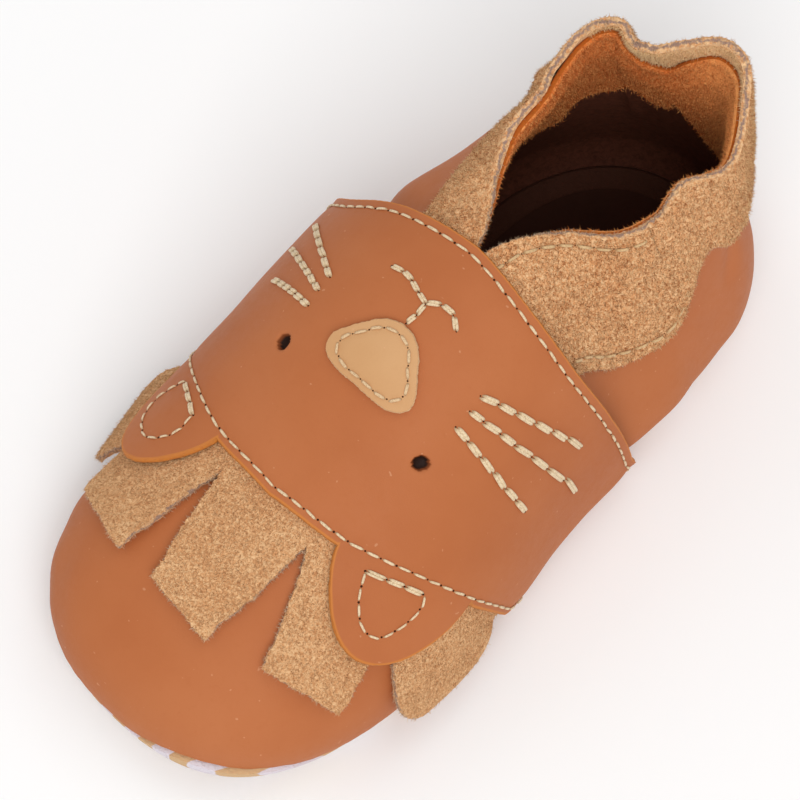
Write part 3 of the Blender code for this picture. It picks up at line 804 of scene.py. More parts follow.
class Recipe:
    """Short-hand for wiring one procedural material on object coordinates."""

    def __init__(self, name: str) -> None:
        """Start a material with a Principled shader.

        Args:
            name: Name of the material.
        """
        self.material = bpy.data.materials.new(name)
        self.material.use_nodes = True
        self.tree = self.material.node_tree
        self.shader = self.tree.nodes["Principled BSDF"]
        self.place = self.tree.nodes.new("ShaderNodeTexCoord").outputs["Object"]

    def put(self, socket: Socket, value: object) -> None:
        """Set a socket's value, or link it where the value is another socket.

        Args:
            socket: The socket.
            value: A number, a colour, a vector or another node's socket.
        """
        if isinstance(value, Socket):
            self.tree.links.new(value, socket)
        elif socket.type == "RGBA" and len(value) == 3:
            socket.default_value = (*value, 1.0)
        else:
            socket.default_value = value

    def fill(self, node: bpy.types.Node, values: dict[str, object]) -> bpy.types.Node:
        """Set a node's own properties and put its sockets, whose names have _ for a space.

        Args:
            node: The node.
            values: Values of properties and sockets by name.

        Returns:
            The node.
        """
        for name, value in values.items():
            if hasattr(node, name):
                setattr(node, name, value)
            else:
                self.put(node.inputs[name.replace("_", " ")], value)
        return node

    def set(self, **values: object) -> None:
        """Put the shader's own sockets."""
        self.fill(self.shader, values)

    def node(self, kind: str, **values: object) -> bpy.types.Node:
        """Add a node of a kind and fill it."""
        return self.fill(self.tree.nodes.new("ShaderNode" + kind), values)

    def mark(self, name: str) -> Socket:
        """Value of a mark that the mesh carries."""
        return self.node("Attribute", attribute_name=name).outputs["Fac"]

    def noise(self, size: float, detail: float = 3.0, rough: float = 0.55, warp: float = 0.0) -> Socket:
        """Noise of about 0 to 1 whose lumps are size metres across, in detail octaves, warped."""
        values = dict(Scale=1.0 / size, Detail=detail, Roughness=rough, Distortion=warp)
        return self.node("TexNoise", Vector=self.place, **values).outputs["Fac"]

    def cells(self, size: float) -> Socket:
        """Distance to the edges of cells that are size metres across."""
        node = self.node("TexVoronoi", feature="DISTANCE_TO_EDGE", Vector=self.place, Scale=1.0 / size)
        return node.outputs["Distance"]

    def bands(self, size: float, turn: float, warp: float) -> Socket:
        """Straight bands of that width, turned in plan and a little warped.

        Args:
            size: Width of a pair of bands.
            turn: Degrees from X.
            warp: Distortion.

        Returns:
            A wave of 0 to 1.
        """
        turned = self.node("Mapping", Vector=self.place, Rotation=(0.0, 0.0, math.radians(turn)))
        values = dict(Scale=math.pi / (10.0 * size), Distortion=warp, Detail_Scale=4.0)
        node = self.node("TexWave", bands_direction="X", Vector=turned.outputs["Vector"], **values)
        return node.outputs["Fac"]

    def ramp(self, value: Socket, *stops: tuple[float, Colour]) -> Socket:
        """Colour along stops.

        Args:
            value: Place along the ramp.
            stops: Place and colour of each stop, in order.

        Returns:
            The colour.
        """
        node = self.node("ValToRGB", Fac=value)
        elements = node.color_ramp.elements
        elements[0].position = stops[0][0]
        elements[-1].position = stops[-1][0]
        for place, _ in stops[1:-1]:
            elements.new(place)
        for element, (_, colour) in zip(elements, stops):
            element.color = (*colour, 1.0)
        return node.outputs["Color"]

    def step(self, value: Socket, low: float, high: float, top: float = 1.0) -> Socket:
        """0 below low, rising smoothly to top above high."""
        values = dict(Value=value, From_Min=low, From_Max=high, To_Min=0.0, To_Max=top)
        return self.node("MapRange", interpolation_type="SMOOTHSTEP", **values).outputs["Result"]

    def mix(self, share: object, first: object, second: object) -> Socket:
        """Colour between two.

        Args:
            share: Share of the second.
            first: The first colour.
            second: The second colour.

        Returns:
            The colour.
        """
        node = self.node("Mix", Factor=share, data_type="RGBA")
        self.put(node.inputs[6], first)
        self.put(node.inputs[7], second)
        return node.outputs[2]

    def sum(self, first: object, second: object, operation: str = "ADD") -> Socket:
        """Sum of two values, or another of the math node's operations.

        Args:
            first: The first value.
            second: The second value.
            operation: The math node's operation.

        Returns:
            The result.
        """
        node = self.node("Math", operation=operation)
        self.put(node.inputs[0], first)
        self.put(node.inputs[1], second)
        return node.outputs[0]

    def bump(self, height: object, depth: float, strength: float = 1.0, under: object = None) -> Socket:
        """Normal of a height map.

        Args:
            height: The map, 0 to 1.
            depth: Metres between 0 and 1.
            strength: Weight.
            under: Normal of a coarser map below.

        Returns:
            The normal.
        """
        node = self.node("Bump", Height=height, Distance=depth, Strength=strength)
        if under is not None:
            self.put(node.inputs["Normal"], under)
        return node.outputs["Normal"]


@dataclass(frozen=True)
class Finish:
    """A finish of a piece, wired as one procedural material."""

    name: str

    def wire(self, recipe: Recipe) -> None:
        """Wire the finish; a plain one leaves the shader as it is."""

    def material(self) -> bpy.types.Material:
        """Make the material.

        Returns:
            The wired material.
        """
        recipe = Recipe(self.name)
        self.wire(recipe)
        return recipe.material


def dress(piece: Piece, finish: Finish, slot: Slot, *nodes: str) -> Piece:
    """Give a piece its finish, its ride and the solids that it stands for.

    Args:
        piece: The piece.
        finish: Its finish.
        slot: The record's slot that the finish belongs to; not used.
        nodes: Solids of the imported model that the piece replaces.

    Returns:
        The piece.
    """
    piece.data.materials.append(finish.material())
    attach(piece, BODY)
    if nodes:
        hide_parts(*nodes)
    return piece


@dataclass(frozen=True)
class SmoothLeather(Finish):
    """Smooth tan leather: faint grain and pores, cloudy colour, cut edges and a flesh side."""

    colour: Colour = srgb(185, 109, 65)
    deep: Colour = srgb(179, 103, 60)
    pale: Colour = srgb(189, 114, 70)
    cut: Colour = srgb(214, 138, 54)
    # Dark brown flesh side of the inner skins: partly their own colour, partly painted shade of the
    # slipper's dark inside.
    flesh: Colour = srgb(114, 65, 48)
    # Near black: painted shade at the bottom of the eye holes, also the dark hairs of the flesh side.
    hole: Colour = srgb(38, 19, 11)
    worn: Colour = srgb(206, 128, 58)
    roughness: float = 0.55
    grain: float = 0.00038
    dust: float = 0.35

    def wire(self, recipe: Recipe) -> None:
        """Wire the finish.

        Args:
            recipe: The material's recipe.
        """
        cloud = recipe.noise(0.020, 3.0, 0.5)
        tone = recipe.ramp(cloud, (0.30, self.deep), (0.52, self.colour), (0.74, self.pale))
        speck = recipe.noise(0.0011, 2.0, 0.6)
        tone = recipe.mix(recipe.step(speck, 0.55, 0.80, 0.22), tone, self.deep)
        if self.dust:
            dust = recipe.step(recipe.noise(0.0007, 0.0, 0.0), 0.83, 0.88, self.dust)
            tone = recipe.mix(dust, tone, srgb(224, 170, 132))
        pores = recipe.step(recipe.cells(self.grain), 0.0, 0.10)
        cut = recipe.mix(recipe.noise(0.0006, 3.0, 0.7), self.cut, self.deep)
        hairy = recipe.step(recipe.noise(0.0008, 4.0, 0.7, 0.8), 0.3, 0.8, 0.6)
        flesh = recipe.mix(hairy, self.flesh, self.hole)
        tone = recipe.mix(recipe.step(recipe.mark("worn"), 0.20, 0.80, 0.75), tone, self.worn)
        tone = recipe.mix(recipe.step(recipe.mark("inside"), 0.93, 0.99), tone, flesh)
        tone = recipe.mix(recipe.step(recipe.mark("edge"), 0.35, 0.75), tone, cut)
        # Painted shade in the eye holes: their wall is mixed to dark brown and their bottom to near black.
        pit = recipe.mark("pit")
        tone = recipe.mix(recipe.step(pit, 0.05, 0.40), tone, srgb(120, 60, 26))
        tone = recipe.mix(recipe.step(pit, 0.40, 0.90), tone, self.hole)
        folds = recipe.bump(recipe.noise(0.0060, 2.0, 0.5), 0.00016, 0.6)
        normal = recipe.bump(pores, 0.00003, 0.35, folds)
        rough = recipe.sum(recipe.step(speck, 0.2, 0.8, 0.10), self.roughness - 0.05)
        recipe.set(Base_Color=tone, Roughness=rough, Normal=normal, Specular_IOR_Level=0.13)


@dataclass(frozen=True)
class Suede(Finish):
    """Napped suede: curly grain of light and dark fibres, brush marks and a grey-violet core."""

    dark: Colour = srgb(162, 104, 64)
    middle: Colour = srgb(218, 159, 108)
    light: Colour = srgb(250, 206, 156)
    core: Colour = srgb(168, 136, 122)
    flesh: Colour = srgb(252, 208, 160)
    nap: float = 0.00042

    def wire(self, recipe: Recipe) -> None:
        """Wire the finish.

        Args:
            recipe: The material's recipe.
        """
        curl = recipe.noise(self.nap, 3.0, 0.62, 0.9)
        fine = recipe.noise(0.00022, 2.0, 0.6, 0.4)
        grain = recipe.sum(recipe.sum(curl, 0.66, "MULTIPLY"), recipe.sum(fine, 0.34, "MULTIPLY"))
        brushed = recipe.noise(0.0075, 3.0, 0.55, 0.4)
        grain = recipe.sum(grain, recipe.sum(recipe.sum(brushed, 0.5, "SUBTRACT"), 0.16, "MULTIPLY"))
        tone = recipe.ramp(grain, (0.35, self.dark), (0.47, self.middle), (0.60, self.light))
        inner = recipe.ramp(grain, (0.35, self.middle), (0.50, self.flesh), (0.62, self.light))
        tone = recipe.mix(recipe.step(recipe.mark("inside"), 0.93, 0.99), tone, inner)
        fuzzy = recipe.mix(recipe.step(curl, 0.38, 0.62), self.middle, self.light)
        stray = recipe.step(recipe.noise(0.0018, 3.0, 0.6), 0.30, 0.70, 0.4)
        across = recipe.sum(recipe.sum(recipe.mark("inside"), stray), 0.7, "SUBTRACT")
        across = recipe.sum(across, 0.0, "ABSOLUTE")
        broken = recipe.step(recipe.noise(0.0006, 3.0, 0.65), 0.40, 0.64, 0.20)
        off = recipe.sum(across, recipe.sum(broken, recipe.step(curl, 0.35, 0.65, 0.10)))
        core = recipe.mix(recipe.step(off, 0.18, 0.44), self.core, fuzzy)
        tone = recipe.mix(recipe.step(recipe.mark("edge"), 0.30, 0.70), tone, core)
        coarse = recipe.bump(curl, 0.00045, 0.85)
        normal = recipe.bump(fine, 0.00016, 0.7, coarse)
        recipe.set(Base_Color=tone, Roughness=0.95, Normal=normal, Specular_IOR_Level=0.12)
        recipe.set(Sheen_Weight=0.28, Sheen_Roughness=0.6, Sheen_Tint=srgb(246, 206, 160))


@dataclass(frozen=True)
class FleshSide(Finish):
    """The rough flesh side of the leather inside the collar, with painted light that brightens its near
    side.
    """

    colour: Colour = srgb(230, 128, 62)
    dark: Colour = srgb(178, 80, 30)
    light: Colour = srgb(255, 182, 110)
    cut: Colour = srgb(196, 106, 38)

    def wire(self, recipe: Recipe) -> None:
        """Wire the finish.

        Args:
            recipe: The material's recipe.
        """
        hair = recipe.noise(0.0006, 4.0, 0.68, 1.2)
        tone = recipe.ramp(hair, (0.30, self.dark), (0.50, self.colour), (0.72, self.light))
        lip = recipe.mix(recipe.step(hair, 0.35, 0.70, 0.6), self.cut, self.dark)
        # Painted light: the near side of the flesh side is mixed towards the light colour.
        tone = recipe.mix(recipe.step(recipe.mark("painted_light"), 0.0, 1.0, 0.6), tone, self.light)
        tone = recipe.mix(recipe.step(recipe.mark("lip"), 0.30, 0.70), tone, lip)
        normal = recipe.bump(hair, 0.0005, 0.9)
        recipe.set(Base_Color=tone, Roughness=0.95, Normal=normal, Specular_IOR_Level=0.12)
        recipe.set(Sheen_Weight=0.12, Sheen_Roughness=0.6, Sheen_Tint=srgb(236, 176, 120))


@dataclass(frozen=True)
class StripedSuede(Finish):
    """Pale sole suede printed with plain tan stripes, its inner side dark brown as painted shade."""

    pale: Colour = srgb(228, 220, 228)
    stripe: Colour = srgb(216, 178, 134)
    band: float = 0.0046
    turn: float = 24.0

    def wire(self, recipe: Recipe) -> None:
        """Wire the finish.

        Args:
            recipe: The material's recipe.
        """
        nap = recipe.noise(0.0005, 3.0, 0.6, 0.6)
        wave = recipe.bands(self.band, self.turn, 0.6)
        tone = recipe.mix(recipe.step(wave, 0.48, 0.60), self.pale, self.stripe)
        tone = recipe.mix(recipe.step(nap, 0.50, 0.80, 0.35), tone, srgb(176, 152, 140))
        # Painted shade: the inner half of the cut edge and the inner skin are mixed to dark brown, where the
        # slipper's inside is dark.
        tone = recipe.mix(recipe.step(recipe.mark("inside"), 0.45, 0.60), tone, srgb(94, 57, 43))
        normal = recipe.bump(nap, 0.0003, 0.8)
        recipe.set(Base_Color=tone, Roughness=0.95, Normal=normal, Specular_IOR_Level=0.15)


@dataclass(frozen=True)
class Twine(Finish):
    """Cream sewing thread, a little darker in its furrows, with painted shade at its ends where it dives
    into the holes.
    """

    colour: Colour = srgb(233, 210, 173)
    dark: Colour = srgb(166, 130, 88)

    def wire(self, recipe: Recipe) -> None:
        """Wire the finish.

        Args:
            recipe: The material's recipe.
        """
        ply = recipe.noise(0.00022, 2.0, 0.5, 0.3)
        tone = recipe.mix(recipe.step(ply, 0.40, 0.75, 0.6), self.colour, self.dark)
        # Painted shade: the stitch darkens towards its ends, where it dives into its holes.
        tone = recipe.mix(recipe.step(recipe.mark("sunk"), 0.55, 1.0, 0.8), tone, self.dark)
        normal = recipe.bump(ply, 0.0001, 0.6)
        recipe.set(Base_Color=tone, Roughness=0.7, Normal=normal, Specular_IOR_Level=0.3)
        recipe.set(Sheen_Weight=0.15, Sheen_Roughness=0.5)


@dataclass(frozen=True)
class Fibre(Finish):
    """Loose fibres, each of its own tone between two."""

    dark: Colour = srgb(196, 156, 122)
    light: Colour = srgb(248, 222, 188)

    def wire(self, recipe: Recipe) -> None:
        """Wire the finish."""
        tone = recipe.mix(recipe.mark("tone"), self.dark, self.light)
        recipe.set(Base_Color=tone, Roughness=0.9, Specular_IOR_Level=0.1)


@dataclass(frozen=True)
class Dark(Finish):
    """Painted shade in a needle hole: the dark colour of the lens where the hole is."""

    colour: Colour = srgb(46, 24, 14)

    def wire(self, recipe: Recipe) -> None:
        """Wire the finish."""
        tone = recipe.mix(recipe.noise(0.0003, 2.0), self.colour, srgb(70, 38, 22))
        recipe.set(Base_Color=tone, Roughness=0.95, Specular_IOR_Level=0.1)


@dataclass(frozen=True)
class Stitch:
    """How a row is sewn: distance between holes, share of it that thread covers, width, height,
    the strands that lie side by side, how far one is ahead of the other, and how the stitches grow
    longer along the row, as the logarithm of the last one over the first."""

    pitch: float
    cover: float
    width: float
    height: float
    strands: int = 1
    spread: float = 0.0
    hole: float = 0.00018
    slant: float = 0.0
    growth: float = 0.001


class Seams:
    """Rows of stitches, each a little tube along its row that dives into a hole at either end.

    A stitch is a grid of u along (-1 to 1) by v around: its width falls as the root of
    1 - u^4, its middle rises as 1 - u^2 and dives as the sixth power of u at the ends.
    """

    rings: int = 9
    sides: int = 8
    hole_rise: float = 0.00005
    uneven: float = 0.06
    skew: float = 3.0

    def __init__(self, seed: int) -> None:
        """Start with no stitches.

        Args:
            seed: Seed of the sewing's unevenness.
        """
        self.rng = np.random.default_rng(seed)
        self.tubes: list[Array] = []
        self.holes: list[Array] = []

    @staticmethod
    def _read(places: Array, run: Array, rows: Array) -> Array:
        """Rows of points or vectors read at places along a run."""
        return np.stack([np.interp(places, run, values) for values in rows.T], axis=1)

    def sew(self, path: Array, normals: Array, stitch: Stitch, closed: bool = False, count: int = 0) -> None:
        """Sew one row.

        Args:
            path: Points along the row.
            normals: Outward normals at those points.
            stitch: How it is sewn.
            closed: Whether the row ends where it starts.
            count: Number of stitches, or 0 to follow the pitch.
        """
        run = np.concatenate([[0.0], np.cumsum(np.linalg.norm(np.diff(path, axis=0), axis=1))])
        count = count or max(1, round(run[-1] / stitch.pitch))
        places = run[-1] * np.expm1(np.linspace(0.0, stitch.growth, count + 1)) / math.expm1(stitch.growth)
        places[1:-1] += self.rng.uniform(-self.uneven, self.uneven, count - 1) * stitch.pitch
        point = self._read(places, run, path)
        normal = unit(self._read(places, run, normals))
        middle = self._read(0.5 * (places[1:] + places[:-1]), run, path)
        chord = point[1:] - point[:-1]
        long = np.linalg.norm(chord, axis=1)
        ahead = chord / long[:, None]
        up = unit(normal[1:] + normal[:-1])
        up = unit(up - ahead * (up * ahead).sum(1, keepdims=True))
        side = np.cross(up, ahead)
        skew = np.radians(self.rng.normal(0.0, self.skew, count))[:, None]
        ahead, side = ahead * np.cos(skew) + side * np.sin(skew), side * np.cos(skew) - ahead * np.sin(skew)
        for strand in range(stitch.strands):
            shift = (strand - 0.5 * (stitch.strands - 1)) * stitch.spread
            moved = middle + side * shift + ahead * (shift * stitch.slant)
            self.tubes.append(self._tubes(moved, ahead, side, up, long * stitch.cover, stitch))
        last = -1 if closed else None
        self.holes.append(self._holes(point[:last], normal[:last], stitch.hole))

    def _tubes(
        self, middle: Array, ahead: Array, side: Array, up: Array, long: Array, stitch: Stitch
    ) -> Array:
        """Tubes of one strand as an array of stitch, ring, side, coordinate.

        Args:
            middle: Middles of the stitches.
            ahead: Unit vectors along them.
            side: Unit vectors across them.
            up: Outward unit vectors.
            long: Their lengths.
            stitch: How they are sewn.

        Returns:
            The points.
        """
        u = np.linspace(-1.0, 1.0, self.rings)[None, :, None]
        v = np.linspace(0.0, 2.0 * math.pi, self.sides, endpoint=False)[None, None, :]
        count = len(middle)
        plump = self.rng.uniform(0.90, 1.10, (count, 1, 1))
        waist = np.sqrt(np.clip(1.0 - (0.985 * u) ** 4, 0.0, 1.0)) * plump
        x = 0.5 * long[:, None, None] * u
        y = 0.5 * stitch.width * waist * np.cos(v)
        rise = stitch.height * (0.62 - 0.25 * u ** 2 - 0.55 * u ** 6)
        z = rise + 0.5 * stitch.height * waist * np.sin(v)
        axes = [(x, ahead), (y, side), (z, up)]
        return middle[:, None, None] + sum(a[..., None] * b[:, None, None] for a, b in axes)

    def _holes(self, point: Array, normal: Array, radius: float) -> Array:
        """Low lenses that show as needle holes: rings of cosine height over the leather.

        Args:
            point: Places of the holes.
            normal: Outward normals there.
            radius: Radius of a hole.

        Returns:
            The points, as an array of hole, ring, side, coordinate.
        """
        helper = np.where(np.abs(normal[:, 2:]) < 0.9, [[0.0, 0.0, 1.0]], [[1.0, 0.0, 0.0]])
        side = unit(np.cross(normal, helper))
        other = np.cross(normal, side)
        t = np.linspace(0.0, 1.0, 5)[None, :, None]
        v = np.linspace(0.0, 2.0 * math.pi, self.sides, endpoint=False)[None, None, :]
        r = radius * np.sin(t * math.pi) * self.rng.uniform(0.85, 1.15, (len(point), 1, 1))
        z = -self.hole_rise * np.cos(t * math.pi)
        axes = [(r * np.cos(v), side), (r * np.sin(v), other), (z, normal)]
        return point[:, None, None] + sum(a[..., None] * b[:, None, None] for a, b in axes)

    @staticmethod
    def _join(name: str, parts: list[Array]) -> Piece:
        """Join arrays of tubes into one mesh with closed ends, marked with sunk at the ends.

        Args:
            name: Name of the piece.
            parts: Arrays of tube, ring, side, coordinate.

        Returns:
            The piece.
        """
        points = np.concatenate(parts)
        count, rings, sides = points.shape[:3]
        odd = np.arange(3, sides, 2)
        low = np.stack([0 * odd, odd, odd - 1, odd - 2], axis=1)
        high = low[:, ::-1] + (rings - 1) * sides
        each = np.concatenate([grid_quads(rings, sides, True), low, high])
        faces = (each[None] + (np.arange(count) * rings * sides)[:, None, None]).reshape(-1, 4)
        sunk = np.abs(np.linspace(-1.0, 1.0, rings))[None, :, None] * np.ones((count, 1, sides))
        return add_mesh(name, points.reshape(-1, 3), faces, {"sunk": sunk})

    def build(self, name: str, twine: Finish, dark: Finish, slot: Slot) -> list[Piece]:
        """Build and dress the thread and the holes."""
        thread = dress(self._join(name + "_thread", self.tubes), twine, slot)
        return [thread, dress(self._join(name + "_holes", self.holes), dark, slot)]


@dataclass
class Fuzz:
    """Loose fibres as straight three-sided spikes."""

    length: tuple[float, float]
    width: float
    curl: float
    seed: int

    def build(self, name: str, roots: Array, ways: Array, painted_light_tone: Array | float = 0.0) -> Piece:
        """Make the fibres as one mesh: each is a triangle at its root and a point at its tip, turned
        off its way by a random share of curl.

        Args:
            name: Name of the piece.
            roots: Where they grow.
            ways: Unit vectors along which they leave.
            painted_light_tone: Painted light added to their tones, for fibres that lie in shade.

        Returns:
            The piece, marked with a tone for each fibre.
        """
        rng = np.random.default_rng(self.seed)
        count = len(roots)
        long = rng.uniform(*self.length, count)[:, None]
        ways = unit(ways + self.curl * rng.normal(0.0, 1.0, (count, 3)))
        side = unit(np.cross(ways, rng.normal(0.0, 1.0, (count, 3))))
        other = np.cross(ways, side)
        v = np.linspace(0.0, 2.0 * math.pi, 3, endpoint=False)
        ring = 0.5 * self.width * (np.cos(v)[:, None] * side[:, None] + np.sin(v)[:, None] * other[:, None])
        points = np.concatenate([roots[:, None] + ring, (roots + ways * long)[:, None]], axis=1)
        each = np.array([[0, 1, 3, 3], [1, 2, 3, 3], [2, 0, 3, 3], [0, 2, 1, 1]])
        faces = (each[None] + (np.arange(count) * 4)[:, None, None]).reshape(-1, 4)
        tone = np.repeat(np.clip(rng.uniform(0.0, 1.0, count) + painted_light_tone, 0.0, 1.0), 4)
        return add_mesh(name, points.reshape(-1, 3), faces, {"tone": tone})

    def on_edge(self, edge: CutEdge, per_metre: float, spread: float) -> tuple[Array, Array]:
        """Roots and ways of fibres along a cut edge.

        Args:
            edge: The cut edge.
            per_metre: How many grow on a metre of it.
            spread: How widely their ways differ.

        Returns:
            Roots and ways.
        """
        rng = np.random.default_rng(self.seed + 1)
        count = int(edge.length.sum() * per_metre)
        pick = rng.choice(len(edge.length), count, p=edge.length / edge.length.sum())
        across = np.cross(edge.normal[pick], edge.outward[pick])
        jitter = rng.uniform(-0.5, 0.5, (count, 1)) * edge.length[pick, None]
        level = rng.uniform(-0.55, 0.55, (count, 1)) * MM
        roots = edge.place[pick] + across * jitter + edge.normal[pick] * level
        ways = unit(edge.outward[pick] + spread * rng.normal(0.0, 1.0, (count, 3)))
        return roots, ways

    def on_wall(
        self, wall: Wall, count: int, comb: Array, lie: float, bears: Array | None = None
    ) -> tuple[Array, Array]:
        """Roots and ways of nap over a wall's outer skin.

        Args:
            wall: The wall.
            count: Number of fibres.
            comb: Direction in which the nap is brushed.
            lie: How flat it lies, from 0 to 1.
            bears: 1 at the points that bear nap, 0 at bare ones; all bear it where it is left out.

        Returns:
            Roots and ways.
        """
        rng = np.random.default_rng(self.seed + 2)
        corners = wall.outer[wall.quads]
        normal = np.cross(corners[:, 2] - corners[:, 0], corners[:, 3] - corners[:, 1])
        area = np.linalg.norm(normal, axis=1)
        if bears is not None:
            area = area * bears[wall.quads].min(axis=1)
        pick = rng.choice(len(area), count, p=area / area.sum())
        a, b = rng.uniform(0.0, 1.0, (2, count, 1))
        low = corners[pick, 0] * (1.0 - a) + corners[pick, 1] * a
        high = corners[pick, 3] * (1.0 - a) + corners[pick, 2] * a
        up = unit(normal[pick])
        ways = (1.0 - lie) * up + lie * comb + 0.45 * rng.normal(0.0, 1.0, (count, 3))
        ways = ways + up * np.clip(0.25 - (ways * up).sum(1, keepdims=True), 0.0, None)
        return low * (1.0 - b) + high * b, unit(ways)


@dataclass
class Sole:
    """The sole, a shallow dish that curls up to the turned seam, and the sock that lies in it."""

    last: Last
    walks: int = 260
    edge_rows: int = 10
    floor_rows: int = 12
    sock_reach: float = 1.03
    toe_roll: float = 0.0007
    roll_walk: float = 0.38
    roll_spread: float = 0.28
    tuck_arc: float = 1.45

    def build(self) -> list[Piece]:
        """Build and dress both pieces.

        Returns:
            The sole and the sock.
        """
        last = self.last
        walks = np.linspace(0.0, 6.0, self.walks, endpoint=False)
        seam = table(TURNED_SEAM, "walk", "climb", walks)
        seam = seam - last.clearance / (self.tuck_arc * last.widest_height)
        climb = seam + (-1.0 - seam) * np.linspace(0.0, 1.0, self.edge_rows, endpoint=False)[:, None]
        share = np.linspace(1.0, 0.0, self.floor_rows)[:, None]
        roll = self.toe_roll * np.exp(-((walks - self.roll_walk) / self.roll_spread) ** 2)
        roll = roll * ease((climb + 1.0) / 0.5)
        outer = np.concatenate([last.on_rib(walks, climb, roll), last.floor_point(walks, share)])
        inner = [last.on_rib(walks, climb, -last.sole_wall), last.floor_point(walks, share, last.sole_wall)]
        quads = grid_quads(len(outer), self.walks, True)
        sole = Wall(outer, np.concatenate(inner), quads[:, ::-1]).build("sole_dish")
        share = np.linspace(self.sock_reach, 0.0, self.floor_rows)[:, None]
        height = last.sole_wall + last.clearance
        over = last.floor_point(walks, share, height + last.sock_wall)
        under = last.floor_point(walks, share, height)
        quads = grid_quads(self.floor_rows, self.walks, True)
        sock = Wall(over, under, quads).build("insole_sock")
        dress(sole, StripedSuede("sole_print"), Slot.SOLE, "sole")
        # Dark sock tones: partly the insole's own colour, partly painted shade of the slipper's dark inside.
        tones = srgb(80, 48, 37), srgb(70, 42, 32), srgb(90, 55, 42)
        dress(sock, SmoothLeather("sock_flesh", *tones, roughness=0.95, dust=0.0), Slot.SOCK, "insole")
        return [sole, sock]


